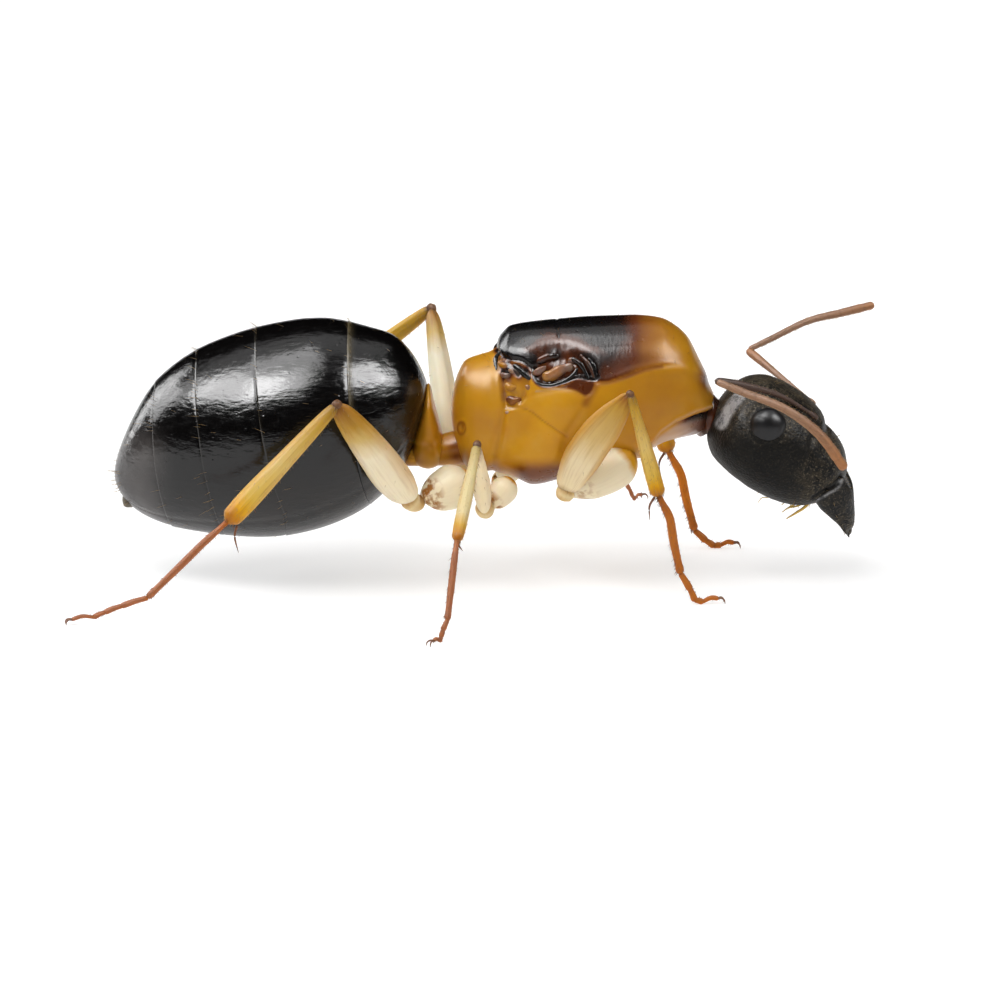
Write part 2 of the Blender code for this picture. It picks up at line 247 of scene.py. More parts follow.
def eased(rows, column, at):
    """A curve through a column of the table, against its first column, that never overshoots."""
    knots, values, steps, rises, i = spans(rows, column, at)
    slopes = np.concatenate([rises[:1], np.zeros(len(knots) - 2), rises[-1:]])
    same = rises[:-1] * rises[1:] > 0
    total = np.where(same, rises[:-1] + rises[1:], 1)
    slopes[1:-1] = np.where(same, 2 * rises[:-1] * rises[1:] / total, 0)
    t = (at - knots[i]) / steps[i]
    return (
        values[i] * (1 + 2 * t) * (1 - t) ** 2
        + steps[i] * slopes[i] * t * (1 - t) ** 2
        + values[i + 1] * t * t * (3 - 2 * t)
        + steps[i] * slopes[i + 1] * t * t * (t - 1)
    )


def flowing(rows, column, at):
    """A curve through a column of the table, against its first column, whose bend changes smoothly."""
    knots, values, steps, rises, span = spans(rows, column, at)
    system, turns = np.eye(len(knots)), np.zeros(len(knots))
    system[0, 1] = system[-1, -2] = -1
    for i in range(1, len(knots) - 1):
        system[i, i - 1 : i + 2] = steps[i - 1], 2 * (steps[i - 1] + steps[i]), steps[i]
        turns[i] = 6 * (rises[i] - rises[i - 1])
    bends = np.linalg.solve(system, turns)
    past, left, step = at - knots[span], knots[span + 1] - at, steps[span]
    return (
        (bends[span] * left**3 + bends[span + 1] * past**3) / (6 * step)
        + (values[span] / step - bends[span] * step / 6) * left
        + (values[span + 1] / step - bends[span + 1] * step / 6) * past
    )


def smooth_step(low, high, value):
    """0 below low, 1 above high, and a soft step between."""
    t = np.clip((value - low) / (high - low), 0, 1)
    return t * t * (3 - 2 * t)


def bell(away, width):
    """1 where away is 0, and a soft fall over the width on both sides."""
    return np.exp(-((away / width) ** 2))


def unit(ways):
    """The same ways, each of length 1."""
    return ways / np.linalg.norm(ways, axis=-1, keepdims=True)


def curve_through(points, steps=8):
    """More points on a smooth curve through the given ones."""
    p = np.array(points, float)
    padded = np.vstack([2 * p[0] - p[1], p, 2 * p[-1] - p[-2]])
    made = []
    for a, b, c, d in zip(padded, padded[1:], padded[2:], padded[3:]):
        for t in np.linspace(0, 1, steps, endpoint=False):
            square, cube = 2 * a - 5 * b + 4 * c - d, 3 * b - a - 3 * c + d
            made.append(0.5 * (2 * b + (c - a) * t + square * t**2 + cube * t**3))
    return np.vstack([made, p[-1]])


def distance_to(points, line):
    """The distance of each flat point from a line of points."""
    best = np.full(len(points), np.inf)
    for start, end in zip(line, line[1:]):
        run = np.subtract(end, start)
        share = np.clip((points - start) @ run / (run @ run), 0, 1)
        best = np.minimum(best, np.linalg.norm(points - (start + share[:, None] * run), axis=1))
    return best


def inside(points, outline):
    """Whether each flat point lies inside the closed outline."""
    x, y = points[:, 0], points[:, 1]
    within = np.zeros(len(points), bool)
    for (x0, y0), (x1, y1) in zip(outline, np.roll(outline, -1, axis=0)):
        crosses = (y0 > y) != (y1 > y)
        rise = y1 - y0 if y1 != y0 else 1e-9
        within ^= crosses & (x < x0 + (y - y0) * (x1 - x0) / rise)
    return within


def depth_inside(points, outline):
    """How deep inside a closed smooth outline each point lies. Outside it is negative."""
    rim = curve_through([*outline, outline[0]], steps=5)
    away = distance_to(points, rim)
    return np.where(inside(points, rim[:-1]), away, -away)


def ripple(points, scale, seed=0):
    """Smooth noise between about -1 and 1 at each point: a sum of a few waves in seeded directions."""
    draw = np.random.default_rng(seed)
    total = np.zeros(len(points))
    for octave in range(3):
        ways = draw.normal(size=(5, 3)) * scale * 1.9**octave
        phases = draw.uniform(0, 2 * math.pi, 5)
        total += np.sin(points @ ways.T + phases).sum(axis=1) / 5 * 0.6**octave
    return total


def read_points(piece):
    points = np.empty(len(piece.data.vertices) * 3, np.float32)
    piece.data.vertices.foreach_get("co", points)
    return points.reshape(-1, 3).astype(float) / MM


def write_points(piece, points):
    piece.data.vertices.foreach_set("co", (points * MM).astype(np.float32).ravel())
    piece.data.update()


def normals_of(piece):
    normals = np.empty(len(piece.data.vertices) * 3, np.float32)
    piece.data.vertex_normals.foreach_get("vector", normals)
    return normals.reshape(-1, 3).astype(float)


def mark(piece, name, values):
    """Keeps a number or a vector for each point, or one number for all, for the material to read."""
    values = np.asarray(values, np.float32)
    if values.ndim == 0:
        values = np.full(len(piece.data.vertices), values)
    kind = "FLOAT" if values.ndim == 1 else "FLOAT_VECTOR"
    field = piece.data.attributes.new(name, kind, "POINT")
    field.data.foreach_set("value" if values.ndim == 1 else "vector", values.ravel())


SKINS = {}  # each moulded piece's (share along, angle around) at its points


def mould(name, sides, rings, place):
    """Adds a ball and moves each of its points to place(share along, angle around)."""
    bpy.ops.object.select_all(action="DESELECT")
    bpy.ops.mesh.primitive_uv_sphere_add(segments=sides, ring_count=rings, radius=MM)
    piece = bpy.context.object
    piece.name = piece.data.name = name
    ball = read_points(piece)
    along = np.arccos(np.clip(-ball[:, 2], -1, 1)) / math.pi
    around = np.arctan2(ball[:, 1], ball[:, 0])
    SKINS[name] = (along, around)
    write_points(piece, place(along, around))
    face_outwards(piece)
    return piece


def select_only(piece):
    bpy.ops.object.select_all(action="DESELECT")
    piece.select_set(True)
    bpy.context.view_layer.objects.active = piece


def face_outwards(piece):
    select_only(piece)
    bpy.ops.object.mode_set(mode="EDIT")
    bpy.ops.mesh.select_all(action="SELECT")
    bpy.ops.mesh.normals_make_consistent(inside=False)
    bpy.ops.object.mode_set(mode="OBJECT")


def carve(piece, depth):
    """Pushes each point in along its normal by its depth, in millimetres."""
    write_points(piece, read_points(piece) - normals_of(piece) * depth[:, None])


def round_ends(share, length, radius):
    """The share of its full radius that a limb has there, so that its two ends are round."""
    room = np.minimum(share, 1 - share) * length / radius
    return np.sqrt(np.clip(1 - (1 - np.minimum(room, 1)) ** 2, 0, 1))


def loft(axis, sections, squareness=2.0, through=eased):
    """A place on a body whose sections stand across a straight side-view axis."""
    tail, nose = (np.array([x, 0.0, z]) for x, z in axis)
    along_way = unit(nose - tail)
    up = np.array([-along_way[2], 0.0, along_way[0]])
    squares = [(row[0], row[1] ** 2, row[2] ** 2, row[3] ** 2) for row in sections]

    def place_at(share, around):
        above, below, wide = (np.sqrt(np.clip(through(squares, k, share), 0, None)) for k in (1, 2, 3))
        across, height = np.cos(around), np.sin(around)
        fit = (np.abs(across) ** squareness + np.abs(height) ** squareness) ** (-1 / squareness)
        height = np.where(height > 0, above, below) * height * fit
        centre = tail + share[:, None] * (nose - tail)
        return centre + up * height[:, None] + np.array([0, 1.0, 0]) * (wide * across * fit)[:, None]

    return place_at


def whole_loft(axis, sections, squareness=2.0):
    """A closed body for mould(), with its rings closer together towards its two ends."""
    place_at = loft(axis, sections, squareness)
    return lambda along, around: place_at((1 - np.cos(math.pi * along)) / 2, around)


def limb(name, path, radii, sides=20, rings=40, flatness=1.0, flat_way=(0, 0, 1), even=0.0, smooth=8):
    """A limb with round ends along a smooth path, with its markings for limb paints. radii holds (share of
    the length, radius); flatness thins it along flat_way, and even spreads the rings evenly."""
    line = curve_through(path, steps=smooth)
    runs = np.linalg.norm(np.diff(line, axis=0), axis=1)
    shares = np.concatenate([[0], np.cumsum(runs)]) / runs.sum()
    length = runs.sum()
    ways = np.gradient(line, axis=0)

    def share_of(along):
        return (1 - even) * (1 - np.cos(math.pi * along)) / 2 + even * along

    def place(along, around):
        share = share_of(along)
        centre = np.column_stack([np.interp(share, shares, line[:, k]) for k in range(3)])
        way = unit(np.column_stack([np.interp(share, shares, ways[:, k]) for k in range(3)]))
        across = unit(np.cross(np.array(flat_way, float), way))
        face = np.cross(way, across)
        radius = np.interp(share, *zip(*radii)) if even else eased(radii, 1, np.clip(share, 0, 1))
        radius = radius * round_ends(share, length, np.maximum(radius, 1e-3))
        return (
            centre
            + across * (radius * np.cos(around))[:, None]
            + face * (radius * flatness * np.sin(around))[:, None]
        )

    piece = mould(name, sides, rings, place)
    along, around = SKINS[name]
    share = share_of(along)
    mark(piece, "along", share)
    mark(piece, "grain", np.column_stack([np.cos(around), np.sin(around), share * length]))
    return piece


def points_of(node):
    return np.unique(np.round(read_points(frame["nodes"][node]), 4), axis=0)


def meeting(near, far):
    """Where two of the frame's limb nodes meet: the middle of their facing cut ends or, at a sharp bend, the
    middle of the ball at its outside."""
    a, b = points_of(near), points_of(far)
    gaps = np.linalg.norm(a[:, None] - b[None], axis=2)
    reach = gaps.min() + JOINT_REACH
    rim = np.vstack([a[gaps.min(axis=1) < reach], b[gaps.min(axis=0) < reach]])
    centre, inner = middle_of(rim), (middle_of(a) + middle_of(b)) / 2
    bend = np.linalg.norm(centre - inner)
    out = (centre - inner) / bend
    if bend < SHARP_BEND:
        return centre
    return centre + out * ((rim @ out).max() - SOLID_LIMB - centre @ out)


def middle_of(points):
    return (points.min(axis=0) + points.max(axis=0)) / 2


def far_end(node, start):
    """The middle of a limb node's round end, on the side away from start."""
    points = points_of(node)
    away = np.linalg.norm(points - start, axis=1)
    far = points[away > away.max() - END_REACH].mean(axis=0)
    return far + (start - far) * SOLID_LIMB / np.linalg.norm(start - far)


def dress(piece, material, slot, replaced=()):
    """Gives a piece its paint and its body and hides the nodes that it stands for; its slot is not used."""
    piece.data.materials.clear()
    piece.data.materials.append(material)
    select_only(piece)
    bpy.ops.object.shade_smooth()
    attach(piece, "root")
    if replaced:
        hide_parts(*replaced)
    return piece


def dress_shell(piece, tone, pale=0.0, slot="amber_shell", replaced=()):
    """Dresses a piece of the body's shell, as dark as tone and as pale as pale, each from 0 to 1; pale
    stands for chalky skin and for painted highlights.
    """
    mark(piece, "tone", tone)
    mark(piece, "pale", pale)
    return dress(piece, paint(body_paint), slot, replaced)


# ---------------------------------------------------------------- paints


class Wire:
    """A value in a material. Sums and products on it add Math nodes."""

    def __init__(self, paint, socket):
        self.paint = paint
        self.socket = socket

    def maths(self, operation, *values):
        return self.paint.node("ShaderNodeMath", {"operation": operation}, dict(enumerate(values)))

    def __add__(self, other):
        return self.maths("ADD", self, other)

    def __sub__(self, other):
        return self.maths("SUBTRACT", self, other)

    def __rsub__(self, other):
        return self.maths("SUBTRACT", other, self)

    def __mul__(self, other):
        return self.maths("MULTIPLY", self, other)

    __radd__ = __add__
    __rmul__ = __mul__


class Paint:
    """A material under construction."""

    def __init__(self, name, **constants):
        self.material = bpy.data.materials.new(name)
        self.material.use_nodes = True
        self.tree = self.material.node_tree
        self.sockets = {
            socket.name.lower().replace(" ", "_"): socket
            for socket in self.tree.nodes["Principled BSDF"].inputs
        }
        for name, value in constants.items():
            self.sockets[name].default_value = value

    def node(self, kind, settings=None, inputs=None, output=0, stops=None):
        """Adds a node: its settings first, then the values and links of its sockets."""
        made = self.tree.nodes.new(kind)
        for name, value in (settings or {}).items():
            setattr(made, name, value)
        if stops:
            ramp = made.color_ramp
            while len(ramp.elements) < len(stops):
                ramp.elements.new(0.5)
            for element, (place, rgb) in zip(ramp.elements, stops):
                element.position = place
                element.color = (*rgb, 1)
        for socket, value in (inputs or {}).items():
            if isinstance(value, Wire):
                self.tree.links.new(value.socket, made.inputs[socket])
            else:
                made.inputs[socket].default_value = value
        return Wire(self, made.outputs[output])

    def place(self):
        return self.node("ShaderNodeTexCoord", output="Object")

    def field(self, name, output="Fac"):
        return self.node("ShaderNodeAttribute", {"attribute_name": name}, output=output)

    def noise(self, scale, where=None, detail=3.0, stretch=None):
        """Cloudy noise, 0 to 1, on Object coordinates or where it is told."""
        where = where or self.place()
        if stretch:
            where = self.node("ShaderNodeMapping", inputs={"Vector": where, "Scale": stretch})
        return self.node("ShaderNodeTexNoise", inputs={"Vector": where, "Scale": scale, "Detail": detail})

    def cells(self, size):
        """The distance from the nearest of many points that are about size millimetres apart."""
        return self.node("ShaderNodeTexVoronoi", inputs={"Vector": self.place(), "Scale": per_mm(size)})

    def mix(self, first, second, share):
        inputs = {0: share, 6: opaque(first), 7: opaque(second)}
        return self.node("ShaderNodeMix", {"data_type": "RGBA"}, inputs, output=2)

    def ramp(self, value, stops):
        return self.node("ShaderNodeValToRGB", inputs={0: value}, stops=stops)

    def between(self, value, low, high):
        """The value spread so that low becomes 0 and high 1, held to that range."""
        return self.node("ShaderNodeMapRange", inputs={0: value, 1: low, 2: high})

    def bump(self, height, depth, under=None):
        """A bump of that depth in millimetres, on top of another."""
        inputs = {"Height": height, "Distance": depth * MM}
        if under:
            inputs["Normal"] = under
        return self.node("ShaderNodeBump", inputs=inputs)

    def finish(self, **links):
        for name, value in links.items():
            self.tree.links.new(value.socket, self.sockets[name])
        return self.material


def opaque(value):
    return value if isinstance(value, Wire) else (*value, 1)


def per_mm(size):
    """The noise scale for features of a size in millimetres on Object coordinates."""
    return 1 / (size * MM)


def black_paint():
    c = bpy.context.scene.ant_colours
    p = Paint("Glossy black shell", specular_ior_level=0.55)
    hem = p.field("hem")
    low = p.field("low")
    cloud = p.noise(per_mm(0.9), detail=2.0)
    body = p.mix(c.black, (0.013, 0.008, 0.006), low * p.between(cloud, 0.30, 0.80))
    # Painted sheen: the tail end's lower side is painted a pale grey for the light it catches.
    body = p.mix(body, (0.090, 0.080, 0.076), p.field("haze") * p.between(cloud, -0.1, 0.8))
    scuffs = p.between(p.noise(per_mm(0.14), detail=5.0, stretch=(0.5, 1, 1.5)), 0.42, 0.72)
    grain = p.noise(per_mm(0.030), detail=2.0, stretch=(0.4, 1.2, 1.2))
    pits = p.cells(0.21)
    pit = p.between(pits, 0.13, 0.04)
    normal = p.bump(grain, 0.0010, under=p.bump(1 - pit, 0.004, under=p.bump(scuffs, 0.0035)))
    return p.finish(
        base_color=p.mix(body, c.hem, hem * p.between(cloud, -0.4, 0.7)),
        roughness=p.between(scuffs * 0.07 + grain * 0.05 + hem * 0.22 + low * 0.08 + 0.12, 0, 1),
        normal=normal,
    )


def soot_paint():
    """Granular shell: one mark speckles it, polish smooths it, another paints a pale highlight on it, and
    the seam and pits are painted black as shade.
    """
    c = bpy.context.scene.ant_colours
    p = Paint("Sooty granular shell", specular_ior_level=0.17, coat_roughness=0.22)
    cloud = p.noise(per_mm(0.7), detail=3.0)
    grain = p.cells(0.055)
    fine = p.noise(per_mm(0.044), detail=4.0)
    patches = p.noise(per_mm(0.16), detail=4.0)
    pits = p.cells(0.17)
    pit = p.between(pits, 0.17, 0.05)
    smooth, speckling, painted_highlight = p.field("polish"), p.field("speckling"), p.field("painted_highlight")
    shell = p.mix(c.soot, (0.0085, 0.0075, 0.0058), p.between(cloud, 0.35, 0.75))
    # Olive patches and light speckle, as strong as the mark that the head and jaws set.
    shell = p.mix(shell, (0.050, 0.038, 0.022), p.between(patches + cloud * 0.4, 0.60, 0.84) * speckling)
    shell = p.mix(shell, (0.165, 0.135, 0.092), p.between(fine, 0.53, 0.67) * (speckling * 0.95 + 0.03))
    shell = p.mix(shell, (0.0020, 0.0018, 0.0018), p.between(grain * 0.7 + patches * 0.6, 0.50, 0.22))
    # Painted highlight: a pale grey, streaky bar mixed into the colour where the head and jaws mark it.
    shell = p.mix(shell, (0.46, 0.455, 0.46), painted_highlight * p.between(fine * 0.8 + patches, 0.50, 0.95))
    # Painted shade: the pits and the seam where the jaws meet the face are darkened to near black.
    shell = p.mix(shell, (0.001, 0.001, 0.001), p.between(pit * 0.8 + p.field("seam"), 0, 1))
    normal = p.bump(1 - pit, 0.008, under=p.bump(grain + fine * 0.7, 0.0085, under=p.bump(patches, 0.008)))
    return p.finish(
        base_color=shell, roughness=p.between(fine * 0.12 + patches * 0.14 + 0.34 - smooth * 0.10, 0, 1),
        coat_weight=p.between(smooth * 0.7, 0, 1), normal=normal,
    )


def eye_paint():
    c = bpy.context.scene.ant_colours
    p = Paint("Compound eye", specular_ior_level=0.44)
    facets = p.cells(0.024)
    cloud = p.noise(per_mm(0.3))
    return p.finish(
        base_color=p.mix(c.eye, (0.011, 0.0105, 0.012), cloud),
        roughness=p.between(cloud * 0.1 + 0.30, 0, 1), normal=p.bump(facets, 0.0010),
    )


def body_paint():
    """Waxy amber that darkens through orange and red-brown to black with the tone mark."""
    c = bpy.context.scene.ant_colours
    p = Paint(
        "Amber and black shell", specular_ior_level=0.30, coat_roughness=0.12, subsurface_weight=0.18,
        subsurface_scale=0.4 * MM, subsurface_radius=(1.0, 0.48, 0.12),
    )
    cloud = p.noise(per_mm(0.60), detail=3.0)
    patches = p.noise(per_mm(0.24), detail=3.0)
    darkness = p.field("tone")
    tone = p.between(darkness + (cloud - 0.5) * 0.12 + (patches - 0.5) * 0.08, 0, 1)
    shell = p.ramp(
        tone,
        [
            (0.00, c.amber), (0.22, tuple(0.55 * a + 0.45 * b for a, b in zip(c.amber, c.burnt))),
            (0.42, c.burnt), (0.62, c.brown), (0.82, (0.016, 0.0050, 0.0030)), (1.00, c.black),
        ],
    )
    glow = p.between(cloud, 0.50, 0.85) * p.between(darkness, 0.35, 0.0)
    waxy = p.mix(shell, (0.70, 0.42, 0.08), glow * 0.55)
    deep = p.between(p.noise(per_mm(1.0), detail=3.0), 0.48, 0.72) * p.between(darkness, 0.45, 0.10)
    waxy = p.mix(waxy, (0.40, 0.150, 0.010), deep * 0.50)
    # The pale mark: chalky skin, and painted highlights on the mesosoma.
    pale = p.mix(waxy, (0.46, 0.34, 0.28), p.field("pale"))
    grain = p.noise(per_mm(0.045), detail=3.0)
    wrinkles = p.noise(per_mm(0.085), detail=3.0, stretch=(1.6, 0.5, 0.5))
    pits = p.cells(0.24)
    pit = p.between(pits, 0.14, 0.05) * p.between(darkness, 0.35, 0.8)
    rough = p.between(darkness, 0.30, 0.85)
    normal = p.bump(grain, 0.0012, under=p.bump(1 - pit, 0.009, under=p.bump(wrinkles * rough, 0.006)))
    return p.finish(
        base_color=pale, roughness=p.between(patches * 0.12 + grain * 0.06 + 0.22 - rough * 0.04, 0, 1),
        coat_weight=rough * 0.32, normal=normal,
    )


def limb_paint(name, stops, ends=0.0, streaks=0.25, rims=0.0):
    """Waxy shell of a limb, coloured along its length, with streaks along it, amber rims where its section
    is narrow, and patchy brown ends."""
    p = Paint(
        name, specular_ior_level=0.22, subsurface_weight=0.25, subsurface_scale=0.25 * MM,
        subsurface_radius=(1.0, 0.62, 0.25),
    )
    grain = p.field("grain", "Vector")
    along = p.field("along")
    blotch = p.noise(2.2, where=grain, detail=3.0)
    streak = p.noise(2.6, where=grain, detail=5.0, stretch=(2.4, 2.4, 0.45))
    shell = p.ramp(p.between(along + (blotch - 0.5) * 0.10, 0, 1), stops)
    if rims:
        side = p.node("ShaderNodeSeparateXYZ", inputs={0: grain})
        rim = p.between(side.maths("ABSOLUTE", side), 0.55, 0.98) * p.between(along, 0.05, 0.30)
        shell = p.mix(shell, (0.50, 0.250, 0.025), rim * rims)
    darker = p.mix(shell, (0.34, 0.16, 0.035), 0.7)
    shell = p.mix(shell, darker, p.between(streak, 0.50, 0.72) * streaks)
    if ends:
        spots = p.between(p.noise(per_mm(0.16), detail=3.0), 0.46, 0.58) * p.between(along, 0.62, 0.82)
        shell = p.mix(shell, (0.33, 0.125, 0.014), spots * ends)
    fine = p.noise(14.0, where=grain, detail=3.0, stretch=(1, 1, 0.5))
    return p.finish(
        base_color=shell, roughness=p.between(fine * 0.20 + 0.33, 0, 1),
        normal=p.bump(streak + fine * 0.3, 0.007),
    )


def feeler_paint(dark):
    c = bpy.context.scene.ant_colours
    p = Paint("Dark feeler stalk" if dark else "Tan feeler", specular_ior_level=0.4)
    grain = p.field("grain", "Vector")
    fine = p.noise(9.0, where=grain, detail=4.0, stretch=(1, 1, 0.6))
    soft = p.noise(1.6, where=grain)
    joint = p.field("joint")
    far = p.between(p.field("along"), 0.55, 1.0)
    # Painted shade: the near feeler's stalk stands in shadow and takes a darker copy of the feeler's
    # colours.
    first = (0.085, 0.042, 0.026) if dark else p.mix(c.tan, (0.42, 0.17, 0.05), far)
    second = (0.045, 0.022, 0.015) if dark else (0.21, 0.105, 0.055)
    shell = p.mix(first, second, p.between(soft, 0.30, 0.75) * 0.7)
    shell = p.mix(shell, (0.11, 0.045, 0.022), joint * 0.20)
    return p.finish(
        base_color=shell, roughness=p.between(fine * 0.25 + 0.36, 0, 1), normal=p.bump(fine, 0.007),
    )


def cloudy_paint(name, first, second, size, roughness, **constants):
    """A plain paint that drifts between two colours in clouds of that size in millimetres."""
    p = Paint(name, **constants)
    cloud = p.noise(per_mm(size))
    return p.finish(base_color=p.mix(first, second, cloud), roughness=p.between(roughness(cloud), 0, 1))


def hair_paint():
    gold, deep = bpy.context.scene.ant_colours.gold, (0.20, 0.11, 0.035)
    return cloudy_paint(
        "Golden hair", gold, deep, 0.5, lambda cloud: cloud * 0.2 + 0.3, specular_ior_level=0.5,
    )


def bristle_paint():
    dark, light = (0.10, 0.035, 0.012), (0.24, 0.085, 0.025)
    return cloudy_paint(
        "Brown bristle", dark, light, 0.4, lambda cloud: cloud * 0.2 + 0.35, specular_ior_level=0.5,
    )


def floor_paint():
    constants = {"specular_ior_level": 0.2, "emission_color": (1, 1, 1, 1), "emission_strength": 0.62}
    first, second = (0.50, 0.50, 0.503), (0.52, 0.52, 0.522)
    return cloudy_paint("Pale lit floor", first, second, 30, lambda cloud: cloud * 0.1 + 0.6, **constants)


PAINTS = {}


def paint(kind, *details):
    """A paint, made the first time it is asked for."""
    key = (kind.__name__, *map(str, details))
    if key not in PAINTS:
        PAINTS[key] = kind(*details)
    return PAINTS[key]


# ---------------------------------------------------------------- hairs


def plant(name, roots, seed, lean, length, thickness, curl, look, spread=0.3):
    """Grows hairs as one mesh. roots holds (points, normals, places on the skin's unwrap); lean is the way
    that they lie; look is their paint and slot; each hair is a thin bent spike of three sides."""
    draw = np.random.default_rng(seed)
    points, normals, unwrap = roots
    count = len(points)
    way = unit(normals + np.asarray(lean) + draw.normal(scale=spread, size=(count, 3)))
    side = unit(np.cross(way, draw.normal(size=(count, 3))))
    other = np.cross(way, side)
    reach = length * draw.uniform(*HAIR_RANGE, count)
    bend = (np.asarray(lean) + draw.normal(scale=0.25, size=(count, 3))) * (curl * reach)[:, None]
    levels = ((-0.06, 1.0), (0.35, 0.85), (0.72, 0.55))
    rings = []
    for share, width in levels:
        centre = points + way * (reach * share)[:, None] + bend * max(share, 0) ** 2
        for corner in range(3):
            turn = 2 * math.pi * corner / 3
            rings.append(centre + (side * math.cos(turn) + other * math.sin(turn)) * thickness * width)
    rings.append(points + way * reach[:, None] + bend)
    vertices = np.stack(rings, axis=1)
    per = vertices.shape[1]
    pattern = [(0, 2, 1)]
    for level in range(2):
        for corner in range(3):
            a, b = 3 * level + corner, 3 * level + (corner + 1) % 3
            pattern += [(a, b, b + 3), (a, b + 3, a + 3)]
    pattern += [(6 + corner, 6 + (corner + 1) % 3, 9) for corner in range(3)]
    faces = (np.arange(count)[:, None, None] * per + np.array(pattern)[None]).reshape(-1, 3)
    mesh = bpy.data.meshes.new(name)
    mesh.from_pydata((vertices.reshape(-1, 3) * MM).tolist(), [], faces.tolist())
    piece = bpy.data.objects.new(name, mesh)
    bpy.context.scene.collection.objects.link(piece)
    layer = mesh.uv_layers.new(name="OFBake")
    corners = np.empty(len(mesh.loops), np.int32)
    mesh.loops.foreach_get("vertex_index", corners)
    patch = np.array([((k % 3) / 2, min(k // 3, 3) / 3) for k in range(per)]) * HAIR_PATCH
    layer.data.foreach_set("uv", (unwrap[corners // per] + patch[corners % per]).astype(np.float32).ravel())
    face_outwards(piece)
    dress(piece, *look)


def roots_on(names, count, chance, seed):
    """Chooses roots on moulded pieces, more often where chance(piece, points, normals) is high. The pieces'
    unwraps lie side by side in a grid."""
    draw = np.random.default_rng(seed)
    cells = math.ceil(math.sqrt(len(names)))
    found = []
    for number, name in enumerate(names):
        piece = bpy.data.objects[name]
        along, around = SKINS[name]
        points, normals = read_points(piece), normals_of(piece)
        weight = np.clip(chance(piece, points, normals), 0, None)
        if weight.sum() == 0:
            continue
        share = count if isinstance(count, int) else count[name]
        share = min(share, int((weight > 0).sum()))
        picked = draw.choice(len(points), size=share, replace=False, p=weight / weight.sum())
        corner = np.array([number % cells, number // cells])
        own = np.column_stack([around / (2 * math.pi) + 0.5, along])
        found.append((points[picked], normals[picked], (corner + own[picked] * 0.97 + 0.01) / cells))
    return tuple(np.vstack(parts) for parts in zip(*found))


# ---------------------------------------------------------------- the pieces


class Maker(bpy.types.Operator):
    """What the ant's operators share."""

    bl_options = {"REGISTER", "UNDO"}

    def execute(self, context):
        self.make(context.scene.ant_sizes)
        return {"FINISHED"}


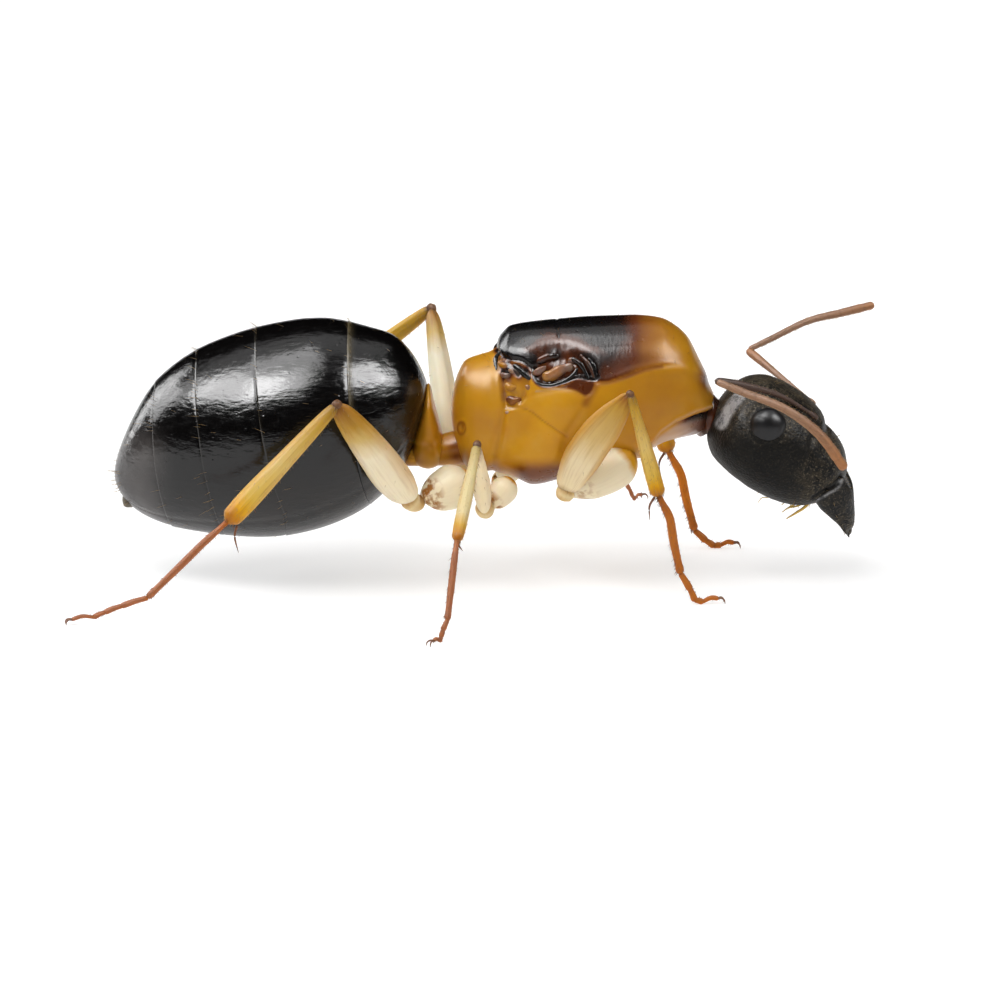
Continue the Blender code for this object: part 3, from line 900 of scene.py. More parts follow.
class ANT_OT_gaster(Maker):
    """Makes the gaster: five glossy hoops, each with a pale hem over the next, and the tail's nozzle"""

    bl_idname = "ant.gaster"
    bl_label = "Gaster"

    LIP_WIDTH = 0.16  # how far the raised rear edge of a hoop reaches forwards
    SUNK = 0.014  # how deep a hoop lies where it runs in under the one ahead
    SEAM, SEAM_WIDTH, SEAM_DEPTH = -0.70, 0.03, 0.012  # the seam low on the flank, with its height as a sine
    CLOSED_CURVE = 0.35  # how roundly a hoop closes at its two ends

    def make(self, sizes):
        lip = sizes.hoop_lip / MM
        place_at = loft(GASTER_AXIS, GASTER, through=flowing)
        reach = math.dist(*GASTER_AXIS)
        run = GASTER_AXIS[1][0] - GASTER_AXIS[0][0]

        def end_share(line, around):
            """The share along the gaster of a hoop's end, at each angle."""
            (low_x, low_z), (high_x, high_z) = line
            share = np.full(len(around), (0.5 * (low_x + high_x) - GASTER_AXIS[0][0]) / run)
            for _ in range(8):
                point = place_at(np.clip(share, 0.01, 0.99), around)
                up = np.clip((point[:, 2] - low_z) / (high_z - low_z), 0, 1)
                wanted = low_x + (high_x - low_x) * up - HOOP_BOW * np.sin(math.pi * up) ** 0.8
                share = np.clip(share + (wanted - point[:, 0]) / run, 0.01, 0.99)
            return share

        for number in range(5):
            front = None if number == 0 else HOOP_ENDS[number - 1]
            rear = None if number == 4 else HOOP_ENDS[number]
            notes = {}

            def place(along, around, front=front, rear=rear, notes=notes):
                start = end_share(rear, around) if rear else np.zeros(len(around))
                stop = end_share(front, around) + HOOP_TUCK / reach if front else np.ones(len(around))
                band = np.clip((along - CLOSING) / (1 - 2 * CLOSING), 0, 1)
                if not rear:
                    band = 1 - np.cos(np.clip(along / (1 - CLOSING), 0, 1) * math.pi / 2)
                if not front:
                    band = np.sin(np.clip((along - CLOSING) / (1 - CLOSING), 0, 1) * math.pi / 2)
                share = start + (stop - start) * band
                surface = place_at(share, around)
                centre = place_at(share, around + math.pi) * 0.5 + surface * 0.5
                from_rear = (share - start) * reach if rear else np.full(len(around), FAR)
                from_front = (stop - share) * reach - HOOP_TUCK if front else np.full(len(around), FAR)
                offset = lip * np.exp(-from_rear / self.LIP_WIDTH)
                offset = offset - self.SUNK * smooth_step(0.05, -0.03, from_front)
                offset = offset - self.SEAM_DEPTH * bell(np.sin(around) - self.SEAM, self.SEAM_WIDTH)
                close = np.ones(len(around))
                if rear:
                    close = np.minimum(close, np.clip(along / CLOSING, 0, 1) ** self.CLOSED_CURVE)
                if front:
                    close = np.minimum(close, np.clip((1 - along) / CLOSING, 0, 1) ** self.CLOSED_CURVE)
                out = surface - centre
                size = np.linalg.norm(out, axis=1)
                out = out / np.maximum(size, 1e-6)[:, None]
                notes["rear"], notes["height"] = from_rear, np.sin(around)
                return centre + out * (np.maximum(size + offset, 0) * close)[:, None]

            piece = mould(f"gaster_hoop_{number + 1}", 176, 60, place)
            wide, strong = HEMS[number]
            points = read_points(piece)
            uneven = 0.75 + 0.25 * ripple(points, 3.0, seed=number)
            fade = strong * smooth_step(-0.25, 0.35, notes["height"])
            mark(piece, "hem", bell(notes["rear"], wide) * uneven * fade)
            mark(piece, "edge", smooth_step(0.20, 0.02, notes["rear"]))
            mark(piece, "low", smooth_step(0.0, -0.8, notes["height"]))
            # Painted sheen: where the tail end's lower side is painted pale grey.
            tail = smooth_step(-5.9, -6.7, points[:, 0] + 0.10 * ripple(points, 1.6, seed=30))
            mark(piece, "haze", tail * smooth_step(3.5, 2.6, points[:, 2]))
            carve(piece, 0.010 * ripple(points, 1.1, seed=20 + number))
            dress(piece, paint(black_paint), "black_shell", [f"gaster_{number + 1}"])

        nozzle = limb(
            "gaster_nozzle", [(-6.62, 0, 1.86), (-6.82, 0, 1.62), (-6.97, 0, 1.40)],
            ((0, 0.26), (0.5, 0.21), (0.85, 0.13), (1, 0.07)), rings=16,
        )
        # The nozzle takes the hem, the lower side's tone and the painted sheen in full.
        for name, value in (("hem", 0.7), ("low", 1.0), ("haze", 1.0)):
            mark(nozzle, name, value)
        dress(nozzle, paint(black_paint), "black_shell")


class ANT_OT_waist(Maker):
    """Makes the petiole's upright scale and the short stalk under it"""

    bl_idname = "ant.waist"
    bl_label = "Waist"

    def make(self, sizes):
        scale = mould("petiole_scale", 72, 60, whole_loft(PETIOLE_AXIS, PETIOLE, 2.2))
        points = read_points(scale)
        height = (points[:, 2] - PETIOLE_AXIS[0][1]) / (PETIOLE_AXIS[1][1] - PETIOLE_AXIS[0][1])
        carve(scale, 0.012 * ripple(points, 1.6, seed=3) + 0.03 * bell(height - 0.32, 0.05))
        foot = smooth_step(0.40, 0.12, height) * np.clip(0.30 + 0.60 * ripple(points, 1.7, seed=4), 0, 0.75)
        edge = smooth_step(0.35, 0.60, np.abs(points[:, 1])) * 0.18
        rear = smooth_step(-1.12, -1.26, points[:, 0]) * smooth_step(0.45, 0.25, height) * 0.7
        tone = 0.05 + np.maximum(foot, rear) + edge + 0.2 * smooth_step(0.85, 1.0, height)
        dress_shell(scale, tone, replaced=["petiole"])

        stalk = limb(
            "petiole_stalk", [(-1.50, 0, 2.52), (-1.00, 0, 2.48), (-0.55, 0, 2.58), (0.10, 0, 2.66)],
            ((0, 0.28), (0.3, 0.24), (0.55, 0.31), (0.8, 0.34), (1, 0.36)), sides=64, rings=80,
        )
        points = read_points(stalk)
        carve(stalk, 0.018 * ripple(points, 3.5, seed=6))
        ends = smooth_step(-0.62, -0.30, points[:, 0]) + smooth_step(-1.12, -1.32, points[:, 0])
        blots = np.clip(0.5 + 0.9 * ripple(points, 3.6, seed=5), 0, 1)
        tone = 0.12 + 0.22 * blots + 0.24 * ends * blots
        dress_shell(stalk, tone, 0.12 * smooth_step(2.42, 2.25, points[:, 2]))


def tipped(points):
    """The points in the side view that markings are placed in."""
    return np.column_stack([points[:, 0], points[:, 2] - TIP_OF_VIEW * np.abs(points[:, 1])])


def groove(view, line, depth, width):
    """A soft groove along a smooth line of the side view."""
    return depth * bell(distance_to(view, curve_through(line, steps=5)), width)


def blot(view, centre, wide, tall):
    """1 at a place of the side view, and a soft fall around it over a half width and a half height."""
    return np.exp(-(((view[:, 0] - centre[0]) / wide) ** 2) - ((view[:, 1] - centre[1]) / tall) ** 2)


class ANT_OT_mesosoma(Maker):
    """Makes the middle body in one skin, with its sutures, the wing hollows and their markings carved in"""

    bl_idname = "ant.mesosoma"
    bl_label = "Mesosoma"

    # Soft swellings of the flank in the side view: centre, half width, half height, how far they stand out
    SWELLINGS = (
        ((1.20, 2.78), 0.62, 0.50, 0.060),
        ((1.62, 3.45), 0.42, 0.24, 0.045),
        ((-0.05, 3.60), 0.38, 0.75, 0.035),
        ((3.50, 3.60), 0.90, 0.45, 0.035),
        ((0.20, 2.45), 0.35, 0.28, 0.050),
        ((2.75, 3.20), 0.35, 0.50, 0.030),
        ((0.85, 4.62), 0.35, 0.16, 0.030),
    )
    METANOTUM = (
        (0.42, 4.62), (0.74, 4.42), (1.14, 4.24), (1.14, 3.95), (1.04, 3.60), (0.84, 3.42), (0.60, 3.44),
        (0.50, 3.95),
    )
    # The recess under the wing hollow, carved in and painted dark as shade.
    GUSSET = (
        (1.50, 3.86), (1.80, 3.91), (2.10, 4.06), (2.42, 4.00), (2.40, 3.78), (2.24, 3.65), (2.02, 3.76),
        (1.74, 3.82),
    )

    def make(self, sizes):
        body = mould("mesosoma_shell", 320, 290, whole_loft(MESOSOMA_AXIS, MESOSOMA, FLANK_SQUARE))
        points = read_points(body)
        view = tipped(points)
        spots = self.regions(view)
        carve(body, self.relief(points, view, spots))
        replaced = ["pronotum", "mesopleura", "mesoscutum", "mesoscutellum", "propodeum"]
        tone, pale = self.tone(points, view, spots), self.pale(points, view, spots)
        dress_shell(body, tone, pale, replaced=replaced)

        neck = limb(
            "neck", [(4.20, 0, 3.22), (4.62, 0, 3.30), (5.06, 0, 3.30)], ((0, 0.52), (0.5, 0.42), (1, 0.34)),
            sides=64, rings=60,
        )
        points = read_points(neck)
        carve(neck, 0.02 * np.sin(points[:, 0] * 26) + 0.012 * ripple(points, 4.0, seed=20))
        tone = 0.76 + 0.10 * ripple(points, 4.0, seed=21)
        dress_shell(neck, tone, 0.35 * smooth_step(3.15, 2.90, points[:, 2]))

    def regions(self, view):
        """How far each point lies within the back's plates, the hollows and the hem, from 0 to 1."""
        x, high = view[:, 0], view[:, 1]
        back_edge = np.interp(x, *zip(*SCUTELLUM_EDGE, *SCUTUM_SIDE[1:]))
        back_edge = np.where((x > 1.17) & (x < 2.50), 4.15, back_edge)
        hem = np.interp(x, *zip(*PRONOTUM_HEM), left=-9)
        return {
            "edge": back_edge, "back": smooth_step(-0.02, 0.05, high - back_edge),
            "hollow": depth_inside(view, HOLLOW),
            "metanotum": smooth_step(-0.03, 0.06, depth_inside(view, self.METANOTUM)),
            "gusset": smooth_step(-0.05, 0.07, depth_inside(view, self.GUSSET)), "hem": hem - high,
            "under": smooth_step(-0.01, 0.05, hem - high) * (x > 3.1),
            "spiracle": np.hypot(x - SPIRACLE[0], (high - SPIRACLE[1]) * 0.62),
        }

    def relief(self, points, view, spots):
        """How far each point is pushed in, in millimetres."""
        x, high = view[:, 0], view[:, 1]
        depth = groove(view, SCUTUM_REAR, 0.020, 0.020)
        narrow = groove(view, PROPODEUM_FRONT, 0.020, 0.025) * (high > 3.5)
        depth += groove(view, PROPODEUM_FRONT, 0.050, 0.085) + narrow
        depth += groove(view, FLANK_SUTURE, 0.020, 0.018)
        depth += groove(view, FLANK_TOP, 0.012, 0.060)
        depth += groove(view, PRONOTUM_REAR, 0.010, 0.070)
        front = smooth_step(4.3, 3.6, x)
        depth += groove(view, SCUTUM_SIDE, 0.016, 0.040) * front - groove(view, SCUTUM_SIDE, 0.018, 0.12)
        depth += groove(view, SCUTELLUM_EDGE, 0.060, 0.034)
        lower = smooth_step(4.45, 4.15, high)
        gentle, steep = smooth_step(-0.10, 0.40, spots["hollow"]), smooth_step(-0.01, 0.10, spots["hollow"])
        pit = gentle * (1 - lower) + steep * lower
        depth += 0.13 * pit + 0.040 * pit * ripple(points, 7.0, seed=7)
        depth += 0.050 * spots["metanotum"] * (1 + 0.75 * ripple(points, 8.0, seed=9))
        depth += 0.030 * spots["gusset"]
        depth += 0.060 * spots["under"] * (1 + 0.25 * ripple(points, 5.0, seed=10))
        depth -= 0.030 * bell(spots["hem"] + 0.04, 0.045) * (x > 3.1)
        depth += 0.030 * bell(spots["spiracle"], 0.045)
        depth -= 0.016 * bell(spots["spiracle"] - 0.085, 0.035)
        for centre, wide, tall, swell in self.SWELLINGS:
            depth -= swell * blot(view, centre, wide, tall)
        return depth + 0.008 * ripple(points, 1.5, seed=11)

    def tone(self, points, view, spots):
        """How dark each point is, from amber at 0 through brown to black at 1."""
        x, high = view[:, 0], view[:, 1]
        fade = np.interp(x, [2.2, 2.7, 3.1, 3.4, 3.8, 4.2, 4.8], [1.0, 0.95, 0.80, 0.62, 0.46, 0.38, 0.42])
        crown = smooth_step(4.75, 5.15, high) * smooth_step(2.8, 3.3, x)
        low_back = smooth_step(0.98, 0.22, high - spots["edge"]) * smooth_step(2.3, 2.65, x)
        tone = spots["back"] * np.clip(fade - 0.27 * low_back - 0.12 * crown, 0, 1)
        tone = np.where((x < 2.52) & (high > 4.7), np.maximum(tone, 0.97), tone)
        halo = smooth_step(-0.32, -0.06, spots["hollow"] + 0.06 * ripple(points, 5.0, seed=12))
        tone = tone * (1 - 0.30 * (halo * smooth_step(4.40, 4.65, high)))
        pit = smooth_step(0.00, 0.20, spots["hollow"])
        patches = np.clip(ripple(points, 4.0, seed=13), -1, 1)
        dark = 0.92 - 0.22 * smooth_step(4.45, 4.65, high)
        tone = np.maximum(tone, smooth_step(-0.05, 0.02, spots["hollow"]) * dark)
        tone = tone * (1 - pit) + pit * (0.72 + 0.22 * patches)
        spoilt = spots["metanotum"]
        top = smooth_step(3.80, 4.20, high)
        mottle = np.clip(ripple(points, 6.5, seed=15), -1, 1)
        tone = tone * (1 - spoilt) + spoilt * (0.24 + 0.44 * top + (0.16 + 0.26 * top) * mottle)
        # Painted shade: the recess under the wing hollow is darkened.
        tone = np.maximum(tone, 0.66 * spots["gusset"])
        for line, strong, wide in (
            (PROPODEUM_FRONT[:5], 0.40, 0.07), (PROPODEUM_FRONT[4:], 0.20, 0.07),
            (FLANK_SUTURE, 0.30, 0.016), (PRONOTUM_REAR[:2], 0.40, 0.12), (PRONOTUM_REAR[1:], 0.14, 0.10),
            (SCUTUM_SIDE[:6], 0.42, 0.07), (SCUTELLUM_EDGE, 0.95, 0.06), (SCUTUM_REAR, 1.0, 0.04),
            (FLANK_TOP, 0.14, 0.06),
        ):
            tone = np.maximum(tone, groove(view, line, strong, wide))
        tone = np.maximum(tone, 0.10 + 0.10 * ripple(points, 0.9, seed=17))
        tone += 0.13 * smooth_step(2.5, 3.2, x) * smooth_step(4.35, 4.05, high) * (1 - spots["back"])
        tone += 0.42 * blot(view, (4.62, 4.08), 0.13, 0.26)
        tone += 0.20 * blot(view, (3.55, 4.42), 0.75, 0.22) * spots["back"]
        tone += 0.22 * smooth_step(0.10, -0.25, x) * smooth_step(3.6, 4.3, high) * (1 - spots["back"])
        tone += 0.16 * smooth_step(2.75, 2.40, high) * smooth_step(0.4, 0.1, x)
        tone = np.maximum(tone, 0.44 * bell(spots["spiracle"] - 0.075, 0.035))
        tone = np.maximum(tone, 0.40 * bell(spots["spiracle"], 0.05))
        near_hem = 0.46 + 0.30 * smooth_step(0.26, 0.08, spots["hem"])
        tone += spots["under"] * smooth_step(3.9, 4.5, x) * near_hem
        under = smooth_step(2.52, 2.12, high + 0.04 * ripple(points, 2.5, seed=18))
        belly = 0.60 * smooth_step(0.6, 1.0, x) * smooth_step(2.4, 1.9, x) + 0.42 * smooth_step(0.9, 0.4, x)
        tone = np.maximum(tone, under * belly)
        return np.clip(tone, 0, 1)

    def pale(self, points, view, spots):
        """How pale each point is: the chalky skin under the neck plate, and painted highlights along the
        plate's hem, on a thin ridge under the wing hollow and as glints on the plates behind it.
        """
        x = view[:, 0]
        pale = spots["under"] * smooth_step(0.05, 0.20, spots["hem"]) * smooth_step(4.80, 4.2, x) * 0.62
        # Painted highlight along the hem of the neck plate.
        rim = bell(spots["hem"] + 0.05, 0.025) * smooth_step(3.3, 3.8, x)
        pale = np.maximum(pale, 0.40 * rim)
        # Painted highlight on a thin ridge under the wing hollow.
        pale = np.maximum(pale, groove(view, ((1.25, 3.77), (1.55, 3.80), (1.85, 3.84)), 0.55, 0.018))
        # Painted highlights: glints on the plates behind the wing hollow.
        glints = np.clip(ripple(points, 9.0, seed=19) - 0.3, 0, 1)
        pale = np.maximum(pale, 0.35 * spots["metanotum"] * glints)
        return np.clip(pale, 0, 1)


def on_flank(x, high, sink=0.0):
    """The point of the mesosoma's right flank that the side view shows at (x, high), sunk inwards."""
    place_at = loft(MESOSOMA_AXIS, MESOSOMA, FLANK_SQUARE)
    share = np.array([(x - MESOSOMA_AXIS[0][0]) / (MESOSOMA_AXIS[1][0] - MESOSOMA_AXIS[0][0])])
    angles = np.linspace(-1.45, 1.45, 240)
    ring = place_at(np.repeat(share, len(angles)), math.pi - angles)
    best = np.argmin(np.abs(tipped(ring)[:, 1] - high))
    point = ring[best]
    return point + unit(np.array([point[0], 0, FLANK_CORE]) - point) * sink


class ANT_OT_wing_roots(Maker):
    """Makes the small plates and ridges that are left where each wing was shed"""

    bl_idname = "ant.wing_roots"
    bl_label = "Wing roots"

    # (name, its line in the side view, half thickness, tone, pale)
    PLATES = (
        ("wing_cap", ((1.42, 4.08), (1.60, 4.13), (1.82, 4.24), (2.04, 4.35)), 0.125, 0.52, 0.30),
        ("wing_cap_end", ((1.92, 4.40), (2.04, 4.44), (2.14, 4.40)), 0.085, 0.70, 0.30),
        ("wing_cap_rim", ((1.2, 3.97), (1.54, 3.89), (1.8, 3.95), (2.02, 4.1), (2.12, 4.26)), 0.054, 1.0, 0),
        ("wing_root_bar", ((0.84, 4.34), (0.96, 4.22), (1.10, 4.08), (1.28, 3.94)), 0.055, 1.0, 0.0),
        ("wing_ridge_a", ((2.02, 4.46), (2.20, 4.30), (2.34, 4.02)), 0.050, 0.96, 0.0),
        ("wing_ridge_b", ((2.18, 4.52), (2.34, 4.34), (2.44, 4.04)), 0.040, 0.88, 0.10),
        ("wing_ridge_c", ((2.34, 4.46), (2.45, 4.30), (2.49, 4.08)), 0.036, 0.96, 0.0),
        ("wing_pad", ((1.30, 4.40), (1.52, 4.50), (1.76, 4.52)), 0.090, 0.70, 0.0),
        ("wing_pad_low", ((1.22, 4.14), (1.34, 4.20), (1.50, 4.30)), 0.075, 0.58, 0.22),
        ("rear_plate_a", ((0.54, 4.40), (0.62, 4.34), (0.72, 4.30)), 0.062, 0.55, 0.30),
        ("rear_plate_b", ((0.86, 4.26), (0.92, 4.16), (0.94, 4.06)), 0.062, 0.85, 0.10),
        ("rear_plate_c", ((0.58, 4.16), (0.68, 4.12), (0.78, 4.12)), 0.066, 0.70, 0.25),
        ("rear_plate_d", ((0.72, 4.22), (0.78, 4.20), (0.84, 4.16)), 0.050, 0.40, 0.30),
        ("rear_plate_e", ((0.66, 3.92), (0.76, 3.86), (0.90, 3.86)), 0.085, 0.34, 0.05),
        ("rear_plate_f", ((0.68, 3.62), (0.84, 3.56), (0.98, 3.62)), 0.085, 0.44, 0.0),
        ("rear_plate_g", ((1.06, 3.90), (1.16, 3.82), (1.22, 3.84)), 0.055, 0.36, 0.15),
        ("rear_hinge", ((0.58, 4.60), (0.49, 4.46), (0.50, 4.22)), 0.042, 1.0, 0.0),
        ("flank_stud", ((0.64, 3.34), (0.70, 3.32), (0.76, 3.34)), 0.040, 0.45, 0.45),
    )

    def make(self, sizes):
        for number, (name, line, thick, tone, pale) in enumerate(self.PLATES):
            sunk = min(0.09, thick * 0.8)
            right = [on_flank(x, high, sunk) for x, high in line]
            for side, word in ((-1, "right"), (1, "left")):
                path = [(p[0], p[1] * -side, p[2]) for p in right]
                piece = limb(
                    f"{name}_{word}", path, ((0, thick * 0.7), (0.45, thick), (1, thick * 0.6)), sides=22,
                    rings=36, flatness=0.7, flat_way=(0, 1, 0.2),
                )
                points = read_points(piece)
                carve(piece, thick * 0.30 * ripple(points, 8.0, seed=number))
                cloud = np.clip(ripple(points, 5.5, seed=number + 40), -1, 1)
                dress_shell(piece, np.clip(tone + 0.24 * cloud, 0, 1), np.clip(pale * (1 + cloud), 0, 1))


class ANT_OT_head(Maker):
    """Makes the head capsule with its eyes, feeler sockets, the edge of the clypeus and the palps"""

    bl_idname = "ant.head"
    bl_label = "Head"

    NAPE_BAR = ((5.34, 3.72), (5.10, 3.40), (4.94, 3.10))  # the pale bar behind the eye, a painted highlight, in the side view
    PALPS = (
        ("palp_long", ((6.74, 0.34, 1.6), (6.6, 0.4, 1.47), (6.44, 0.42, 1.37), (6.25, 0.42, 1.25)), 0.034),
        ("palp_short", ((6.64, 0.28, 1.6), (6.49, 0.34, 1.5), (6.3, 0.34, 1.46), (6.16, 0.33, 1.36)), 0.022),
        ("palp_thin", ((6.1, 0.34, 1.82), (5.92, 0.38, 1.69), (5.77, 0.4, 1.68), (5.68, 0.4, 1.57)), 0.014),
    )

    def make(self, sizes):
        head = mould("head_shell", 240, 200, whole_loft(HEAD_AXIS, HEAD, 2.3))
        points = read_points(head)
        eye = middle("eye_right") * (1, -1, 1)
        mirrored = points.copy()
        mirrored[:, 1] = np.abs(mirrored[:, 1])
        rim = np.linalg.norm((mirrored - eye) * (1, 0.5, 1), axis=1)
        depth = 0.014 * bell(rim - 0.40, 0.04)
        clypeus_low, clypeus_high = np.array((7.22, 1.95)), np.array((7.08, 3.10))
        run = clypeus_high - clypeus_low
        flat = points[:, [0, 2]] - clypeus_low
        ahead = (flat @ np.array((run[1], -run[0]))) / np.linalg.norm(run)
        bow = 0.35 * (mirrored[:, 1] / 0.9) ** 2
        depth += 0.035 * bell(ahead + bow * 0.6, 0.035) * (points[:, 2] > 2.2)
        for name in ("right", "left"):
            socket = far_end(f"scape_{name}", meeting(f"scape_{name}", f"flagellum_base_{name}"))
            away = np.linalg.norm(points - socket, axis=1)
            depth += 0.06 * bell(away, 0.14) - 0.006 * bell(away - 0.24, 0.06)
        depth += 0.010 * ripple(points, 1.6, seed=31) + 0.004 * ripple(points, 9.0, seed=33)
        depth += groove(tipped(points), JAW_SEAM, 0.030, 0.030) * (points[:, 0] > 6.7)
        carve(head, depth)
        view = tipped(points)
        top = smooth_step(0.1, 0.75, normals_of(head)[:, 2])
        low_front = smooth_step(6.1, 6.9, points[:, 0]) * smooth_step(3.0, 2.4, points[:, 2])
        nape = smooth_step(5.50, 5.25, points[:, 0]) * smooth_step(2.9, 3.2, points[:, 2])
        mark(head, "polish", nape * 0.3)
        # Lighter speckle on the head, strongest on the upward faces and low at the front.
        mark(head, "speckling", np.clip(0.05 + 0.95 * top + 0.55 * low_front, 0, 1))
        # Painted highlight: a pale streaky bar behind each eye on the sides of the head.
        bar = smooth_step(0.15, 0.75, groove(view, self.NAPE_BAR, 1.0, 0.125))
        bar = bar * smooth_step(0.30, 0.50, np.abs(points[:, 1]))
        mark(head, "painted_highlight", np.clip(bar * (0.9 + 0.3 * ripple(points, 6.0, seed=34)), 0, 1))
        # Painted shade: the seam at the jaw is marked to be painted black.
        mark(head, "seam", groove(view, JAW_SEAM, 1.0, 0.030) * (points[:, 0] > 6.7))
        dress(head, paint(soot_paint), "black_shell", ["head", "clypeus"])

        for name in ("right", "left"):
            spot = middle(f"eye_{name}")

            def place(along, around, spot=spot, name=name):
                tilt = math.radians(-38)
                up, out = np.sin(around) * np.sin(math.pi * along), -np.cos(math.pi * along)
                forward = np.cos(around) * np.sin(math.pi * along)
                long, tall = 0.375 * forward, 0.372 * up
                return np.column_stack(
                    [
                        spot[0] + long * math.cos(tilt) - tall * math.sin(tilt),
                        spot[1] + side_of(name) * (0.30 * out - 0.06),
                        spot[2] - 0.055 + long * math.sin(tilt) + tall * math.cos(tilt),
                    ]
                )

            ball = mould(f"eye_ball_{name}", 72, 48, place)
            dress(ball, paint(eye_paint), "eye", [f"eye_{name}"])

        mouth = limb(
            "mouth_parts", [(6.15, 0, 2.02), (6.60, 0, 1.80), (7.05, 0, 1.66)],
            ((0, 0.20), (0.5, 0.30), (1, 0.22)), sides=32,
        )
        dress_shell(mouth, 0.6, slot="black_shell")
        c = bpy.context.scene.ant_colours
        straw = [(0.0, c.burnt), (0.15, c.straw), (1.0, c.straw)]
        for name, line, thick in self.PALPS:
            for side, word in ((-1, "right"), (1, "left")):
                palp = limb(
                    f"{name}_{word}", [(x, y * side, z) for x, y, z in line],
                    ((0, thick), (0.5, thick * 0.8), (1, thick * 0.35)), sides=12, rings=24,
                )
                dress(palp, paint(limb_paint, "Straw palp", straw), "amber_limb")


def middle(node):
    """The middle of a node's box, in millimetres."""
    low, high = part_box(node)
    return (np.array(low) + np.array(high)) / 2 / MM


class ANT_OT_jaws(Maker):
    """Makes the two curved, toothed mandibles"""

    bl_idname = "ant.jaws"
    bl_label = "Jaws"

    # Along the jaw: share, middle line (x, z), half width in the side view, half thickness sideways
    BLADE = (
        (0.00, 6.98, 2.20, 0.26, 0.20),
        (0.20, 7.09, 1.94, 0.37, 0.27),
        (0.42, 7.24, 1.67, 0.36, 0.26),
        (0.60, 7.36, 1.44, 0.28, 0.21),
        (0.78, 7.465, 1.18, 0.17, 0.14),
        (0.92, 7.505, 0.98, 0.10, 0.08),
        (1.00, 7.51, 0.85, 0.03, 0.03),
    )
    TEETH = 5

    def make(self, sizes):
        for name in ("right", "left"):
            side = side_of(name)

            def place(along, around, side=side):
                share = (1 - np.cos(math.pi * along)) / 2
                x, z, wide, thick = (eased(self.BLADE, k, share) for k in (1, 2, 3, 4))
                ends = round_ends(share, 1.5, 0.2)
                forward = np.cos(around)
                tooth = 0.030 * np.clip(np.sin(share * self.TEETH * 2 * math.pi), -0.4, 1)
                tooth = 1.6 * tooth * smooth_step(0.4, 0.6, share) * smooth_step(-0.75, -1.0, np.sin(around))
                front = (wide * forward * ends)[:, None] * np.array([0.907, 0.42])
                inward = 0.66 - 0.46 * share**1.6
                y = side * (inward + thick * np.sin(around) * ends - 0.10 * forward * share - tooth)
                y = side * np.maximum(side * y, 0.03)
                return np.column_stack([x + front[:, 0], y, z + front[:, 1]])

            jaw = mould(f"jaw_{name}", 64, 72, place)
            points = read_points(jaw)
            carve(jaw, 0.008 * ripple(points * (1, 1, 0.35), 8.0, seed=41))
            carve(jaw, 0.030 * bell(points[:, 0] - 7.20 - 0.45 * (1.7 - points[:, 2]), 0.07))
            seam = groove(tipped(points), JAW_SEAM, 1.0, 0.032)
            carve(jaw, 0.035 * seam)
            # Painted shade: the seam is painted black as well as carved in.
            mark(jaw, "seam", seam)
            # Painted highlight: a pale line just below the seam where the jaw meets the face.
            mark(jaw, "painted_highlight", groove(tipped(points), np.add(JAW_SEAM, (0.03, -0.09)), 0.55, 0.022))
            mark(jaw, "polish", 0.25)
            # Lighter speckle on the jaw, more towards its lower end.
            mark(jaw, "speckling", 0.35 + 0.35 * smooth_step(1.6, 1.1, points[:, 2]))
            dress(jaw, paint(soot_paint), "black_shell", [f"mandible_{name}"])


class ANT_OT_feelers(Maker):
    """Makes the feelers: a long stalk, a knuckle and ten joints on each side"""

    bl_idname = "ant.feelers"
    bl_label = "Feelers"

    def make(self, sizes):
        thick = sizes.feeler / MM
        for name in ("right", "left"):
            nodes = ("scape", "flagellum_base", "flagellum_tip")
            scape, base, tip_node = (f"{node}_{name}" for node in nodes)
            elbow, bend = meeting(scape, base), meeting(base, tip_node)
            socket, tip = far_end(scape, elbow), far_end(tip_node, bend)
            right = name == "right"
            socket = socket + ((0, 0, 0) if right else (-0.06, 0, -0.035))
            elbow = elbow + ((-0.13, 0, -0.13) if right else (0, 0, -0.09))
            slim = 1.0 if right else 0.78
            lift = np.array([0, 0, 0.13 if right else 0.0])
            stalk = limb(
                f"feeler_stalk_{name}",
                [
                    socket, socket * 0.65 + elbow * 0.35 + lift * 1.4, socket * 0.3 + elbow * 0.7 + lift,
                    elbow,
                ],
                ((0, 0.050), (0.05, 0.065), (0.12, 0.044), (0.6, 0.066), (0.92, 0.086), (1, 0.074)),
                sides=24, rings=56,
            )
            mark(stalk, "joint", 0.0)
            # The near (right) stalk takes the darker paint as painted shade; the far one is tan.
            dress(stalk, paint(feeler_paint, right), "brown_feeler", [scape])

            sag = (bend + tip) / 2 + ((0.08, 0, 0.10) if right else (0, 0, 0))
            path = [elbow + (bend - elbow) * 0.02, elbow * 0.6 + bend * 0.4, bend, sag, tip]
            count = 11
            radii = [(0, thick * slim * 0.55)]
            for joint in range(count):
                low, high = joint / count, (joint + 1) / count
                full = thick * slim * np.interp(joint, (0, 1, 5, 9, 10), (0.76, 0.82, 0.94, 1.14, 1.08))
                for share, part in ((0.06, 0.97), (0.35, 1.0), (0.80, 1.01), (0.97, 0.97)):
                    radii.append((low + (high - low) * share, full * part))
            radii.append((1.0, thick * slim * 0.7))
            whip = limb(f"feeler_whip_{name}", path, radii, sides=24, rings=230, even=0.93, smooth=16)
            share = SKINS[f"feeler_whip_{name}"][0]
            place = (share * count) % 1
            mark(whip, "joint", bell(np.minimum(place, 1 - place), 0.07))
            dress(whip, paint(feeler_paint, False), "brown_feeler", [base, tip_node])


